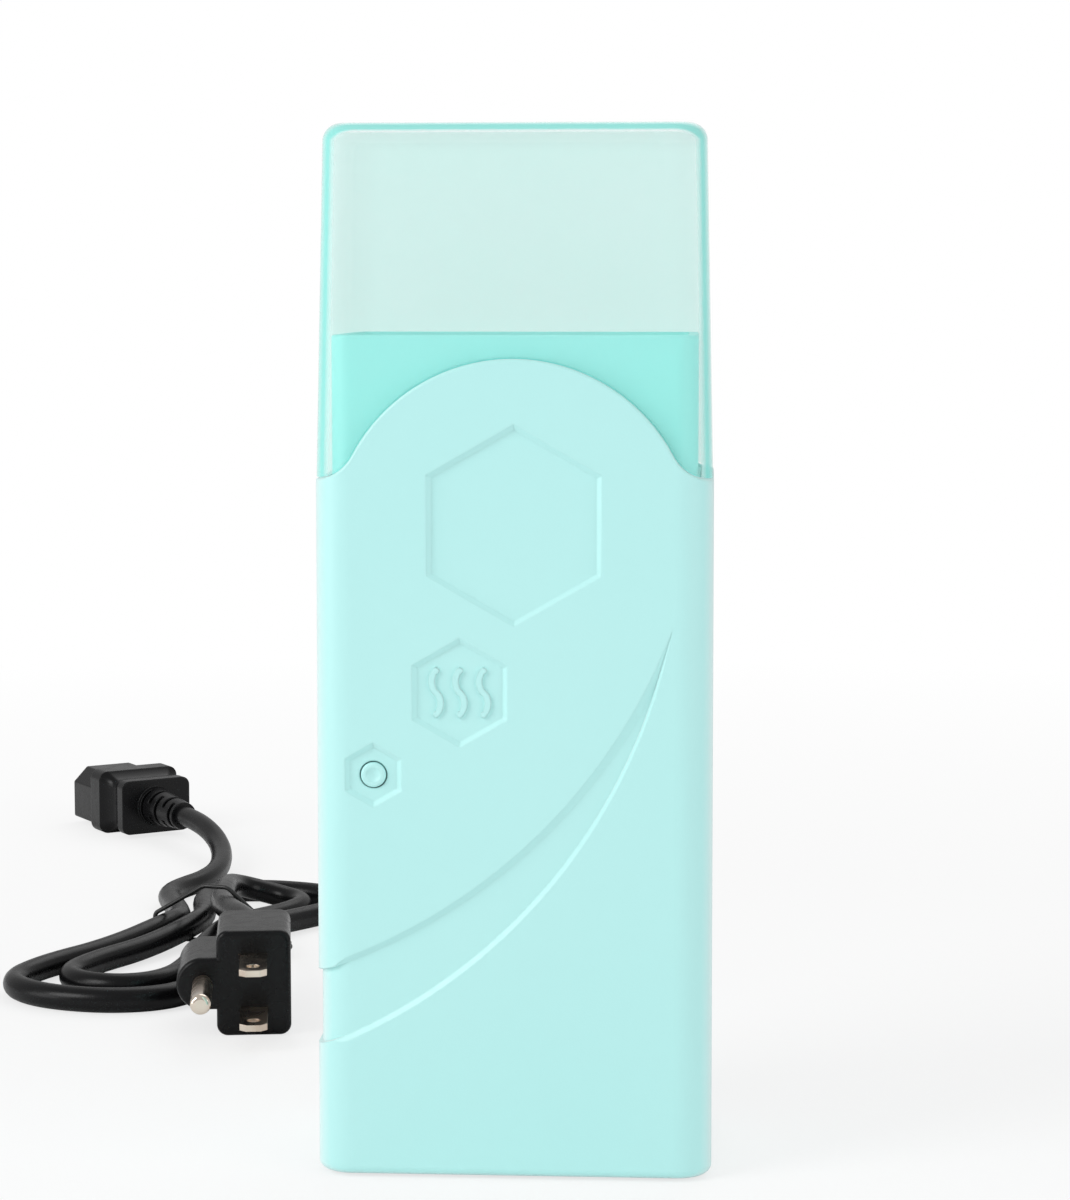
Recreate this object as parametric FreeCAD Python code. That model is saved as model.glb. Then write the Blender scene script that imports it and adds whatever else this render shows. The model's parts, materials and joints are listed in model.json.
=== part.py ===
import FreeCAD, Part
import math
import os
from FreeCAD import Placement, Rotation, Vector

# Roll-on wax warmer with a lift-off cap and a loose mains lead.
# Millimetres. Origin: centre of the base, on the table. +Z up, the front faces -Y.

# Case
case_bottom_z = 0.6
shoulder_z = 137.8
shoulder_width = 77.3
shoulder_depth = 52.0
base_side_flare = 0.3
base_front_draft = 0.4
base_width = shoulder_width + 2 * base_side_flare
base_depth = shoulder_depth - 2 * base_front_draft
corner_radius = 7.0
case_wall = 2.5
case_floor = 2.5
base_fillet = 1.6
arch_peak_z = 161.0
arch_inset = 3.65
arch_radius = shoulder_width / 2 - arch_inset
arch_edge_radius = 0.5
seam_groove = 0.3
seam_lip_height = 2.0
seam_lip_wall = 1.0
root_overlap = 0.4

# Front relief
relief_depth = 0.8
relief_slope = 1.1
large_hexagon_x = 0.3
large_hexagon_z = 129.0
large_hexagon_radius = 19.5
medium_hexagon_x = -10.2
medium_hexagon_z = 96.6
medium_hexagon_radius = 10.7
small_hexagon_inset = 11.55
small_hexagon_x = small_hexagon_inset - shoulder_width / 2
small_hexagon_z = 80.4
small_hexagon_radius = 6.4
wave_count = 3
wave_pitch = 4.6
wave_radius = 3.0
wave_width = 1.2
wave_height = 0.5
swoosh_tip = (29.7, 103.2)
swoosh_upper_middle = (5.5, 68.4)
swoosh_upper_end = (-48.0, 38.79)
swoosh_lower_middle = (9.4, 61.4)
swoosh_lower_end = (-48.0, 22.25)
swoosh_seam_margin = 5.0
rear_swoosh_drop = 4.0

# Cap
cap_top_z = 206.0
cap_ledge = 0.15
cap_draft = 1.5
cap_top_width = shoulder_width - 2 * (cap_ledge + cap_draft)
cap_top_depth = shoulder_depth - 2 * (cap_ledge + cap_draft)
cap_wall = 1.5
cap_roof = 1.8
cap_corner_radius = 6.5
cap_top_fillet = 3.5
cap_seat_gap = 0.3

# Collar and mouth
collar_top_z = 165.5
collar_wall = 2.0
collar_gap = 0.9
collar_ledge_z = 116.0
collar_ledge_width = 2.6
collar_ledge_height = 2.0
collar_flange = 2.0
collar_lip = 0.6
collar_lip_height = 1.5
collar_rim_drop = 0.1
collar_rim_height = 1.6
deck_z = 150.0
deck_thickness = 2.0
gasket_thickness = 0.8
bezel_height = 3.0

# Heat sleeve, the well for a cartridge of about 55 by 30 mm
well_side_room = 10.15
well_front_room = 10.25
well_width = shoulder_width - 2 * well_side_room
well_depth = shoulder_depth - 2 * well_front_room
well_radius = 9.0
well_floor_z = 45.0
sleeve_wall = 1.2
sleeve_flange = 1.2

# Heater, thermostat, fuse and their straps
strap_boss_radius = 2.4
strap_boss_margin = 2.5
strap_boss_x = well_width / 2 - well_radius - strap_boss_margin
heater_boss_gap = 1.1
heater_width = 2 * (strap_boss_x - strap_boss_radius - heater_boss_gap)
heater_height = 24.0
heater_thickness = 2.6
heater_z = 94.0
film_thickness = 0.2
film_margin = 1.0
strap_thickness = 0.6
heater_strap_height = 14.0
cutoff_strap_height = 7.0
cutoff_z = 64.0
cutoff_gap = 1.5
thermostat_width = heater_width / 2 - cutoff_gap
thermostat_height = 18.0
thermostat_thickness = 4.0
fuse_radius = 2.0
fuse_length = 11.0
fuse_offset = 1.75
fuse_x = heater_width / 4 + fuse_offset
fuse_lead_radius = 0.5
fuse_lead_length = 4.0
cutoff_x = -thermostat_width / 2

# Button, switch and board
button_radius = 2.45
button_edge_radius = 0.6
button_dish_radius = 1.5
button_dish_depth = 0.5
button_sink = 0.1
button_gap = 0.25
button_flange_radius = 3.4
button_flange = 0.8
button_travel = 0.6
plunger_radius = 1.7
plunger_exposed = 0.9
plunger_seat = 1.2
switch_side = 6.0
switch_height = 3.0
board_width = 15.0
board_height = 30.0
board_thickness = 1.2
board_shift = 1.0
board_screw_z = 11.5
board_boss_radius = 2.4
led_width = 2.8
led_height = 1.9
led_z = 5.8
capacitor_radius = 2.0
capacitor_height = 3.6
regulator_width = 4.5
regulator_height = 2.3

# Mains inlet
inlet_z = 18.0
inlet_flange_width = 31.0
inlet_flange_height = 24.6
inlet_flange_thickness = 2.0
inlet_sink = 0.2
inlet_pad = 2.0
inlet_corner_radius = 3.0
inlet_body_width = 27.4
inlet_body_height = 19.8
inlet_body_depth = 20.0
cavity_width = 24.8
cavity_height = 17.0
cavity_depth = 17.0
cavity_chamfer = 5.0
pin_width = 2.0
pin_height = 4.0
pin_length = 15.0
pin_spacing = 14.0
pin_offset = 2.0
tab_length = 8.0
tab_thickness = 0.8

# Screws and feet
screw_radius = 1.4
screw_head_radius = 2.6
screw_head_height = 1.6
screw_boss_radius = 2.8
screw_inset = 3.0
upper_screw_z = 106.0
lower_screw_z = 12.0
lower_screw_inset = 9.5
lower_screw_x = base_width / 2 - lower_screw_inset
screw_bite = 14.0
screw_sink = 8.0
sunk_boss_radius = 3.7
small_screw_radius = 0.9
small_head_radius = 1.8
small_head_height = 0.9
small_screw_bite = 2.4
recess_width_share = 0.28
recess_span_share = 1.2
recess_depth_share = 0.5
foot_radius = 4.5
foot_thickness = 1.6
foot_side_inset = 11.95
foot_front_inset = 10.6
foot_x = base_width / 2 - foot_side_inset
foot_y = base_depth / 2 - foot_front_inset

# Mains lead, at the sizes of a C13 connector and a NEMA 5-15 plug
cord_diameter = 6.2
lead_x = -95.0
lead_y = 182.0
lead_turn_angle = 7.0
hank_tilt_angle = 22.0
tie_lift = 1.7
tie_lift_reach = 13.0
layer_rise = 6.9
waist_outer = 11.7
waist_inner = 4.5
lobe_span_count = 6
entry_turn_angle = 0.45
entry_spread = 62.0
entry_reach = 57.0
bottom_outer_spread = 45.5
bottom_outer_reach = 80.0
top_outer_spread = 41.0
top_outer_reach = 57.0
bottom_inner_spread = 29.3
bottom_inner_reach = 65.0
top_inner_spread = 21.7
top_inner_reach = 47.0
last_lobe_share = 0.85
shift_start_share = 0.5
climb_start_share = 0.4
end_run = 15.0
join_run = 16.0
lead_route = [(0.0, 105.0, 5.5), (-1.0, 76.0, 3.1)]
tail_route = [(8.0, -19.5, 12.4)]
connector_start = (-14.0, 139.0)
connector_heading_share = (-0.462, 0.887)
plug_start = (14.0, -52.0)
plug_heading_share = (0.02, -1.0)
tie_diameter = 1.2
tie_gap = 0.4
tie_corner_radius = 2.4
tie_shoulder_z = 7.2
tie_top_z = 15.6
tie_top_x = 2.0
tie_top_width = 7.0
tie_end_diameter = 2.0
tie_end_route = [(15.8, 0.0, 5.0), (21.5, -1.0, 4.2), (25.5, -5.5, 2.4), (27.0, -12.0, 1.3)]

# Connector and plug
nose_width = 24.0
nose_height = 16.2
nose_length = 18.0
nose_chamfer = 4.6
nose_radius = 0.8
slot_gap = 0.3
slot_depth = 14.0
contact_wall = 0.5
contact_inset = 1.5
grip_width = 27.0
grip_height = 20.0
grip_length = 21.0
grip_collar_length = 4.0
grip_block_length = 7.0
grip_radius = 3.0
grip_collar_share = 0.86
grip_waist_share = 0.74
relief_length = 21.0
relief_root_radius = 6.2
relief_tip_radius = 4.2
relief_groove_count = 5
groove_width = 1.7
groove_depth = 1.5
groove_bridge = 4.0
plug_relief_length = 11.0
plug_relief_groove_count = 3
plug_width = 17.4
plug_height = 25.0
plug_length = 24.0
plug_neck_length = 13.0
plug_neck_share = 0.72
plug_radius = 2.6
plug_edge_radius = 1.2
blade_spacing = 12.7
blade_thickness = 1.5
blade_width = 6.35
blade_length = 17.5
blade_hole_radius = 1.6
blade_hole_inset = 4.6
ground_offset = 11.9
ground_radius = 2.4
ground_length = 20.5
ground_neck = 0.4
ground_root_radius = 2.0
ground_lobe_radius = 6.2
blade_root = 9.0

# Wires and terminals
wire_diameter = 1.8
terminal_wall = 0.6
terminal_length = 7.0
wire_side_inset = 6.2
wire_side_x = base_width / 2 - wire_side_inset
rear_wire_gap = 2.05
rear_wire_y = well_depth / 2 + sleeve_wall + rear_wire_gap
live_route = [(-7.0, -14.0, 16.0), (-20.0, -18.5, 21.5), (-30.0, -18.5, 33.5), (-31.0, -17.9, 49.5)]
live_board_x = -31.0
neutral_route = [
    (7.0, -14.0, 16.0),
    (17.0, -19.0, 19.5),
    (29.0, -12.0, 25.0),
    (30.0, 4.0, 33.0),
    (19.0, rear_wire_y, 40.0),
    (fuse_x, rear_wire_y, 44.0),
]
earth_route = [(0.0, -17.0, 20.0), (0.0, -17.0, 40.0)]
heater_board_x = -25.0
heater_route = [
    (-25.0, -17.9, 54.0),
    (-wire_side_x, -9.0, 46.0),
    (-wire_side_x, 6.0, 41.5),
    (-23.0, rear_wire_y, 40.0),
    (cutoff_x, rear_wire_y, 43.0),
]
link_inset = 1.5
earth_tag_z = 40.0
earth_tag_rear = 6.0

# Fits
fit_gap = 0.15
thread_gap = 0.05
overrun = 3.0
flat_share = 0.0001
run_share = 0.45


# Helpers

def rounded_wire(width, depth, radius, z):
    """Rounded rectangle around the Z axis at height z."""
    x = width / 2
    y = depth / 2
    corners = [(x, y, 0), (-x, y, 1), (-x, -y, 2), (x, -y, 3)]
    arcs = []
    for corner_x, corner_y, quarter in corners:
        inward = Vector(math.copysign(radius, corner_x), math.copysign(radius, corner_y), 0)
        centre = Vector(corner_x, corner_y, z) - inward
        spots = []
        for share in (0.0, 0.5, 1.0):
            angle = (quarter + share) * math.pi / 2
            spots.append(centre + Vector(radius * math.cos(angle), radius * math.sin(angle), 0))
        arcs.append(spots)
    edges = []
    for index, spots in enumerate(arcs):
        edges.append(Part.Arc(*spots).toShape())
        edges.append(Part.LineSegment(spots[2], arcs[(index + 1) % len(arcs)][0]).toShape())
    return Part.Wire(edges)


def rounded_block(width, depth, radius, low_z, high_z):
    """Upright prism of a rounded rectangle."""
    return Part.Face(rounded_wire(width, depth, radius, low_z)).extrude(Vector(0, 0, high_z - low_z))


def box(low, high):
    """Box between two corners."""
    low = Vector(*low)
    high = Vector(*high)
    size = high - low
    return Part.makeBox(size.x, size.y, size.z, low)


def rod_y(radius, x, z, low_y, high_y):
    """Cylinder along +Y."""
    return Part.makeCylinder(radius, high_y - low_y, Vector(x, low_y, z), Vector(0, 1, 0))


def at_z(shape, z):
    """Edges of a shape that lie at height z."""
    small = root_overlap / 10
    level = [edge for edge in shape.Edges if edge.BoundBox.ZLength < small]
    return [edge for edge in level if abs(edge.BoundBox.ZMin - z) < small]


def fuse_all(shapes):
    """One solid from touching or overlapping shapes."""
    return shapes[0].multiFuse(shapes[1:]).removeSplitter()


def screw(x, z, seat_y, length, radius, head_radius, head_height):
    """Pan-head screw along Y, its head looking to +Y."""
    head = rod_y(head_radius, x, z, seat_y, seat_y + head_height)
    shank = rod_y(radius, x, z, seat_y - length, seat_y)
    narrow = head_radius * recess_width_share / 2
    wide = head_radius * recess_span_share / 2
    high_y = seat_y + head_height
    low_y = high_y - head_height * recess_depth_share
    cross = [
        box((x - wide, low_y, z - narrow), (x + wide, high_y, z + narrow)),
        box((x - narrow, low_y, z - wide), (x + narrow, high_y, z + wide)),
    ]
    return fuse_all([head, shank]).cut(fuse_all(cross))


def small_screw(x, z, seat_y, length):
    """One of the small screws of the straps and the board."""
    return screw(x, z, seat_y, length, small_screw_radius, small_head_radius, small_head_height)


# Case outline

def case_size(z):
    """Width and depth of the case at height z."""
    rise = (z - case_bottom_z) / (shoulder_z - case_bottom_z)
    width = base_width + (shoulder_width - base_width) * rise
    depth = base_depth + (shoulder_depth - base_depth) * rise
    return width, depth


def case_block(low_z, high_z, inset):
    """Tapered case outline between two heights, drawn in by inset."""
    wires = []
    for z in (low_z, high_z):
        width, depth = case_size(z)
        wires.append(rounded_wire(width - 2 * inset, depth - 2 * inset, corner_radius - inset, z))
    return Part.makeLoft(wires, True, True)


def front_y(z):
    """Front face of the case at height z."""
    return -case_size(z)[1] / 2


def arch_region(gap):
    """Everything above the arched top edge of the case, lifted off it by gap."""
    half = shoulder_width / 2
    centre_z = arch_peak_z - arch_radius
    radius = arch_radius + gap
    low_z = shoulder_z + gap
    drop = low_z - centre_z
    flare = (half ** 2 + drop ** 2 - radius ** 2) / (2 * (radius - drop))
    reach = radius + flare
    touch_x = radius * half / reach
    touch_z = centre_z + radius * (drop + flare) / reach
    turn = math.atan2(drop + flare, half)
    middle_angle = (math.pi / 2 - turn) / 2
    middle_x = half - flare * math.sin(middle_angle)
    middle_z = low_z + flare - flare * math.cos(middle_angle)
    side = half + overrun
    top_z = cap_top_z + overrun
    start_y = -shoulder_depth / 2 - overrun

    def spot(x, z):
        return Vector(x, start_y, z)

    edges = [
        Part.LineSegment(spot(-side, low_z), spot(-half, low_z)),
        Part.Arc(spot(-half, low_z), spot(-middle_x, middle_z), spot(-touch_x, touch_z)),
        Part.Arc(spot(-touch_x, touch_z), spot(0, centre_z + radius), spot(touch_x, touch_z)),
        Part.Arc(spot(touch_x, touch_z), spot(middle_x, middle_z), spot(half, low_z)),
        Part.LineSegment(spot(half, low_z), spot(side, low_z)),
        Part.LineSegment(spot(side, low_z), spot(side, top_z)),
        Part.LineSegment(spot(side, top_z), spot(-side, top_z)),
        Part.LineSegment(spot(-side, top_z), spot(-side, low_z)),
    ]
    wire = Part.Wire([edge.toShape() for edge in edges])
    return Part.Face(wire).extrude(Vector(0, -2 * start_y, 0))


# Relief on the case

def hexagon_wire(x, z, radius, y):
    """Hexagon standing on a corner, facing along Y."""
    points = []
    for corner in range(6):
        angle = math.radians(90 + 60 * corner)
        points.append(Vector(x + radius * math.cos(angle), y, z + radius * math.sin(angle)))
    points.append(points[0])
    return Part.makePolygon(points)


def hexagon_recess(x, z, radius):
    """Recess with sloped walls: widest at the face, narrower at its floor."""
    face = front_y(z)
    slope = relief_slope / relief_depth
    outer = hexagon_wire(x, z, radius + slope * overrun, face - overrun)
    floor = hexagon_wire(x, z, radius - relief_slope, face + relief_depth)
    return Part.makeLoft([outer, floor], True, True)


def circle_through(points):
    """Centre and radius of the circle through three points (x, z)."""
    circle = Part.Circle(*[Vector(x, z, 0) for x, z in points])
    return circle.Center, circle.Radius


def on_circle(circle, x):
    """Where the lower part of a circle passes x, as (x, z)."""
    centre, radius = circle
    return x, centre.y - math.sqrt(radius ** 2 - (x - centre.x) ** 2)


def circles_meet(first, second):
    """Crossing of two circles on the far right, as (x, z)."""
    gap = second[0] - first[0]
    along = (gap.Length ** 2 + first[1] ** 2 - second[1] ** 2) / (2 * gap.Length)
    across = math.sqrt(first[1] ** 2 - along ** 2)
    way = Vector(gap).normalize()
    side = Vector(-way.y, way.x, 0) * across
    spots = [first[0] + way * along + side, first[0] + way * along - side]
    spot = max(spots, key=lambda point: point.x)
    return spot.x, spot.y


def swoosh_points(inset):
    """Upper and lower arc of the crescent, each as three points (x, z), drawn in by inset."""
    upper_centre, upper_radius = circle_through([swoosh_tip, swoosh_upper_middle, swoosh_upper_end])
    lower_centre, lower_radius = circle_through([swoosh_tip, swoosh_lower_middle, swoosh_lower_end])
    upper = (upper_centre, upper_radius + inset)
    lower = (lower_centre, lower_radius - inset)
    tip = circles_meet(upper, lower)
    arcs = []
    for circle, middle, end in ((upper, swoosh_upper_middle, swoosh_upper_end),
                                (lower, swoosh_lower_middle, swoosh_lower_end)):
        arcs.append([tip, on_circle(circle, middle[0]), on_circle(circle, end[0])])
    return arcs


def swoosh_wire(inset, place):
    """Outline of the crescent, each of its points set in space by place."""
    upper, lower = [[place(x, z) for x, z in arc] for arc in swoosh_points(inset)]
    edges = [
        Part.Arc(*upper),
        Part.LineSegment(upper[2], lower[2]),
        Part.Arc(lower[2], lower[1], lower[0]),
    ]
    return Part.Wire([edge.toShape() for edge in edges])


def swoosh_recess(drop):
    """Crescent one relief deep: sloped walls on the face, then round the corner in the case's skin."""
    half_slope = relief_slope / 2

    def before_face(x, z):
        return Vector(x, front_y(z) - relief_depth, z)

    def on_floor(x, z):
        return Vector(x, front_y(z) + relief_depth, z)

    def ahead(x, z):
        return Vector(x, -shoulder_depth / 2 - overrun, z)

    outlines = [swoosh_wire(-3 * half_slope, before_face), swoosh_wire(half_slope, on_floor)]
    face = Part.makeLoft(outlines, True, True)
    reach = shoulder_depth / 2 + overrun - swoosh_seam_margin
    band = Part.Face(swoosh_wire(half_slope, ahead)).extrude(Vector(0, reach, 0))
    skin = case_block(case_bottom_z, shoulder_z, -2 * overrun)
    skin = skin.cut(case_block(case_bottom_z, shoulder_z, relief_depth))
    recess = fuse_all([face, band.common(skin)])
    recess.translate(Vector(0, 0, -drop))
    return recess


def wave_stroke(x):
    """Raised wavy stroke on the floor of the medium hexagon: two quarter arcs that swing to either side."""
    floor_y = front_y(medium_hexagon_z) + relief_depth
    half = wave_width / 2
    inner = wave_radius - half
    outer = wave_radius + half
    reach = wave_radius * math.sin(math.pi / 4)

    def quarter_arc(middle_z, side):
        centre_x = x - side * reach
        ring = rod_y(outer, centre_x, middle_z, floor_y - wave_height, floor_y + root_overlap)
        ring = ring.cut(rod_y(inner, centre_x, middle_z, floor_y - overrun, floor_y + overrun))
        keep_low = (min(x, x + side * outer), floor_y - overrun, middle_z - outer)
        keep_high = (max(x, x + side * outer), floor_y + overrun, middle_z + outer)
        return ring.common(box(keep_low, keep_high))

    strokes = [quarter_arc(medium_hexagon_z - reach, 1), quarter_arc(medium_hexagon_z + reach, -1)]
    for end_z in (medium_hexagon_z - 2 * reach, medium_hexagon_z + 2 * reach):
        strokes.append(rod_y(half, x, end_z, floor_y - wave_height, floor_y + root_overlap))
    return fuse_all(strokes)


# Case halves

def arch_edges(shell):
    """Outer edges along the arched top of the case."""
    core = case_block(shoulder_z - overrun, arch_peak_z + overrun, case_wall / 2)
    edges = []
    for edge in shell.Edges:
        middle = edge.valueAt((edge.FirstParameter + edge.LastParameter) / 2)
        on_top = edge.BoundBox.ZMin > shoulder_z - arch_edge_radius
        if on_top and not core.isInside(middle, arch_edge_radius, True):
            edges.append(edge)
    return edges


def case_shell():
    """Hollow case with its arched top, base fillet and the ledges that trap the collar."""
    top_z = arch_peak_z + overrun
    outer = case_block(case_bottom_z, top_z, 0)
    outer = outer.makeFillet(base_fillet, at_z(outer, case_bottom_z))
    shell = outer.cut(case_block(case_bottom_z + case_floor, top_z + overrun, case_wall))
    rings = []
    lip_z = collar_ledge_z + collar_flange + fit_gap
    bands = [
        (collar_ledge_z - collar_ledge_height, collar_ledge_z, collar_ledge_width),
        (lip_z, lip_z + collar_lip_height, collar_lip),
    ]
    for low_z, high_z, width in bands:
        ring = case_block(low_z, high_z, case_wall - root_overlap)
        rings.append(ring.cut(case_block(low_z - overrun, high_z + overrun, case_wall + width)))
    shell = shell.multiFuse(rings).cut(arch_region(0))
    shell = shell.makeFillet(arch_edge_radius, arch_edges(shell))
    groove = case_block(case_bottom_z - overrun, top_z + overrun, -overrun)
    groove = groove.cut(case_block(case_bottom_z + seam_groove, top_z + overrun, seam_groove))
    half_width = shoulder_width + overrun
    slot = box((-half_width, -seam_groove / 2, 0), (half_width, seam_groove / 2, top_z + overrun))
    return shell.cut(groove.common(slot))


def half_box(side):
    """All of the space in front of (-1) or behind (+1) the seam."""
    wide = shoulder_width + overrun
    deep = shoulder_depth + overrun
    low_y = min(0, side * deep)
    high_y = max(0, side * deep)
    return box((-wide, low_y, -overrun), (wide, high_y, cap_top_z + overrun))


def case_screw_places():
    """Places of the four case screws: (x, z)."""
    upper_x = case_size(upper_screw_z)[0] / 2 - case_wall - screw_inset
    return [
        (-upper_x, upper_screw_z),
        (upper_x, upper_screw_z),
        (-lower_screw_x, lower_screw_z),
        (lower_screw_x, lower_screw_z),
    ]


def foot_places():
    """Places of the four feet: (x, y)."""
    return [(x, y) for x in (-foot_x, foot_x) for y in (-foot_y, foot_y)]


def foot_pockets():
    """Pockets under the case for the feet."""
    radius = foot_radius + fit_gap
    pockets = []
    for x, y in foot_places():
        pockets.append(Part.makeCylinder(radius, foot_thickness + overrun, Vector(x, y, -overrun)))
    return pockets


def front_shell(shell):
    """Front half: relief, button hole, screw bosses and board bosses."""
    half = shell.common(half_box(-1))
    tools = [
        hexagon_recess(large_hexagon_x, large_hexagon_z, large_hexagon_radius),
        hexagon_recess(medium_hexagon_x, medium_hexagon_z, medium_hexagon_radius),
        hexagon_recess(small_hexagon_x, small_hexagon_z, small_hexagon_radius),
        swoosh_recess(0),
    ]
    half = half.cut(fuse_all(tools[:3])).cut(tools[3])
    hole_radius = button_radius + button_gap
    button_hole = rod_y(hole_radius, small_hexagon_x, small_hexagon_z, front_y(small_hexagon_z), 0)
    additions = []
    for index in range(wave_count):
        additions.append(wave_stroke(medium_hexagon_x + (index - (wave_count - 1) / 2) * wave_pitch))
    pilots = []
    for x, z in case_screw_places():
        wall_y = front_y(z) + case_wall
        additions.append(rod_y(screw_boss_radius, x, z, wall_y - root_overlap, 0))
        pilots.append(rod_y(screw_radius + thread_gap, x, z, -screw_bite - overrun, overrun))
    for z in board_screw_heights():
        wall_y = front_y(z) + case_wall
        additions.append(rod_y(board_boss_radius, small_hexagon_x, z, wall_y - root_overlap, board_front_y()))
        low_y = board_front_y() - small_screw_bite - fit_gap
        pilots.append(rod_y(small_screw_radius + thread_gap, small_hexagon_x, z, low_y, overrun))
    half = half.multiFuse(additions)
    return half.cut(button_hole).cut(Part.makeCompound(pilots)).cut(Part.makeCompound(foot_pockets()))


def seam_lip():
    """Thin lip of the rear half that lies inside the front half along the seam."""
    low_z = case_bottom_z + case_floor
    high_z = collar_ledge_z - collar_ledge_height
    deep = case_wall + fit_gap + seam_lip_wall
    wide = shoulder_width
    core = case_block(low_z - overrun, high_z + overrun, deep)
    tongue = case_block(low_z + fit_gap, high_z - fit_gap, case_wall + fit_gap).cut(core)
    tongue = tongue.common(box((-wide, -seam_lip_height, 0), (wide, root_overlap, high_z)))
    root = case_block(low_z - root_overlap, high_z - fit_gap, case_wall - root_overlap).cut(core)
    root = root.common(box((-wide, 0, 0), (wide, seam_lip_height, high_z)))
    return tongue.fuse(root)


def rear_shell(shell):
    """Rear half: curved band, inlet cut-out, seam lip and screw bosses with sunk heads."""
    half = shell.common(half_box(1))
    recess = swoosh_recess(rear_swoosh_drop)
    recess.rotate(Vector(0, 0, 0), Vector(0, 0, 1), 180)
    half = half.cut(recess)
    bosses = []
    holes = []
    for x, z in case_screw_places():
        wall_y = -front_y(z) - case_wall
        bosses.append(rod_y(screw_boss_radius, x, z, 0, wall_y + root_overlap))
        bosses.append(rod_y(sunk_boss_radius, x, z, screw_seat_y(z) - case_wall, wall_y + root_overlap))
        holes.append(rod_y(screw_radius + fit_gap, x, z, -overrun, shoulder_depth))
        holes.append(rod_y(screw_head_radius + fit_gap, x, z, screw_seat_y(z), shoulder_depth))
    lip = seam_lip()
    for x, z in case_screw_places():
        lip = lip.cut(rod_y(screw_boss_radius + fit_gap, x, z, -shoulder_depth, 0))
    half = half.multiFuse(bosses + [lip, inlet_seat_pad()])
    half = half.cut(Part.makeCompound(holes[0::2])).cut(Part.makeCompound(holes[1::2]))
    return half.cut(inlet_cutout()).cut(Part.makeCompound(foot_pockets()))


def inlet_seat_pad():
    """Thicker wall behind the inlet's flange."""
    wall_y = -front_y(inlet_z) - case_wall
    width = inlet_flange_width + 2 * inlet_pad
    height = inlet_flange_height + 2 * inlet_pad
    pad = rounded_block(width, height, inlet_corner_radius, wall_y - inlet_pad, wall_y + root_overlap)
    return face_rear(pad)


def inlet_cutout():
    """Hole for the inlet's body and the shallow seat of its flange."""
    hole = rounded_block(inlet_body_width, inlet_body_height, inlet_corner_radius, 0, shoulder_depth)
    width = inlet_flange_width + 2 * fit_gap
    height = inlet_flange_height + 2 * fit_gap
    seat_y = rear_face_y() - inlet_flange_thickness
    seat = rounded_block(width, height, inlet_corner_radius + fit_gap, seat_y, shoulder_depth)
    return face_rear(fuse_all([hole, seat]))


def face_rear(shape):
    """Turn a shape drawn on the Z axis to look along +Y at the inlet's height."""
    placed = shape.copy()
    placed.rotate(Vector(0, 0, 0), Vector(1, 0, 0), -90)
    placed.translate(Vector(0, 0, inlet_z))
    return placed


def screw_seat_y(z):
    """Where a case screw's head sits, sunk into the rear half."""
    return -front_y(z) - screw_sink


def rubber_feet():
    """Four round pads, half sunk in the base."""
    feet = []
    for x, y in foot_places():
        foot = Part.makeCylinder(foot_radius, foot_thickness, Vector(x, y, 0))
        foot = foot.makeChamfer(case_bottom_z / 2, at_z(foot, 0))
        feet.append(foot)
    return feet


def case_screws():
    """Four screws driven from the rear into the front half's bosses."""
    screws = []
    for x, z in case_screw_places():
        seat_y = screw_seat_y(z)
        length = seat_y + screw_bite
        screws.append(screw(x, z, seat_y, length, screw_radius, screw_head_radius, screw_head_height))
    return screws


# Cap, collar and well

def cap_size(z):
    """Width and depth of the cap at height z."""
    rise = (z - shoulder_z) / (cap_top_z - shoulder_z)
    low_width = shoulder_width - 2 * cap_ledge
    low_depth = shoulder_depth - 2 * cap_ledge
    return low_width + (cap_top_width - low_width) * rise, low_depth + (cap_top_depth - low_depth) * rise


def cap_block(low_z, high_z, inset):
    """Tapered cap outline between two heights."""
    wires = []
    for z in (low_z, high_z):
        width, depth = cap_size(z)
        wires.append(rounded_wire(width - 2 * inset, depth - 2 * inset, cap_corner_radius - inset, z))
    return Part.makeLoft(wires, True, True)


def cap():
    """Hollow cap whose lower edge follows the arch of the case."""
    outer = cap_block(shoulder_z - overrun, cap_top_z, 0)
    outer = outer.makeFillet(cap_top_fillet, at_z(outer, cap_top_z))
    roof_z = cap_top_z - cap_roof
    inner = cap_block(shoulder_z - 2 * overrun, roof_z, cap_wall)
    inner = inner.makeFillet(cap_top_fillet - cap_wall, at_z(inner, roof_z))
    return outer.cut(inner).common(arch_region(cap_seat_gap))


def collar_size():
    """Outer width and depth of the collar, one gap inside the cap at the collar's top."""
    width, depth = cap_size(collar_top_z)
    drawn_in = 2 * (cap_wall + collar_gap)
    return width - drawn_in, depth - drawn_in


def collar_radius():
    """Plan corner radius of the collar."""
    return cap_corner_radius - cap_wall - collar_gap


def sleeve_block(outset, low_z, high_z):
    """Prism of the well's outline, grown by outset."""
    width = well_width + 2 * outset
    depth = well_depth + 2 * outset
    return rounded_block(width, depth, well_radius + outset, low_z, high_z)


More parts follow.
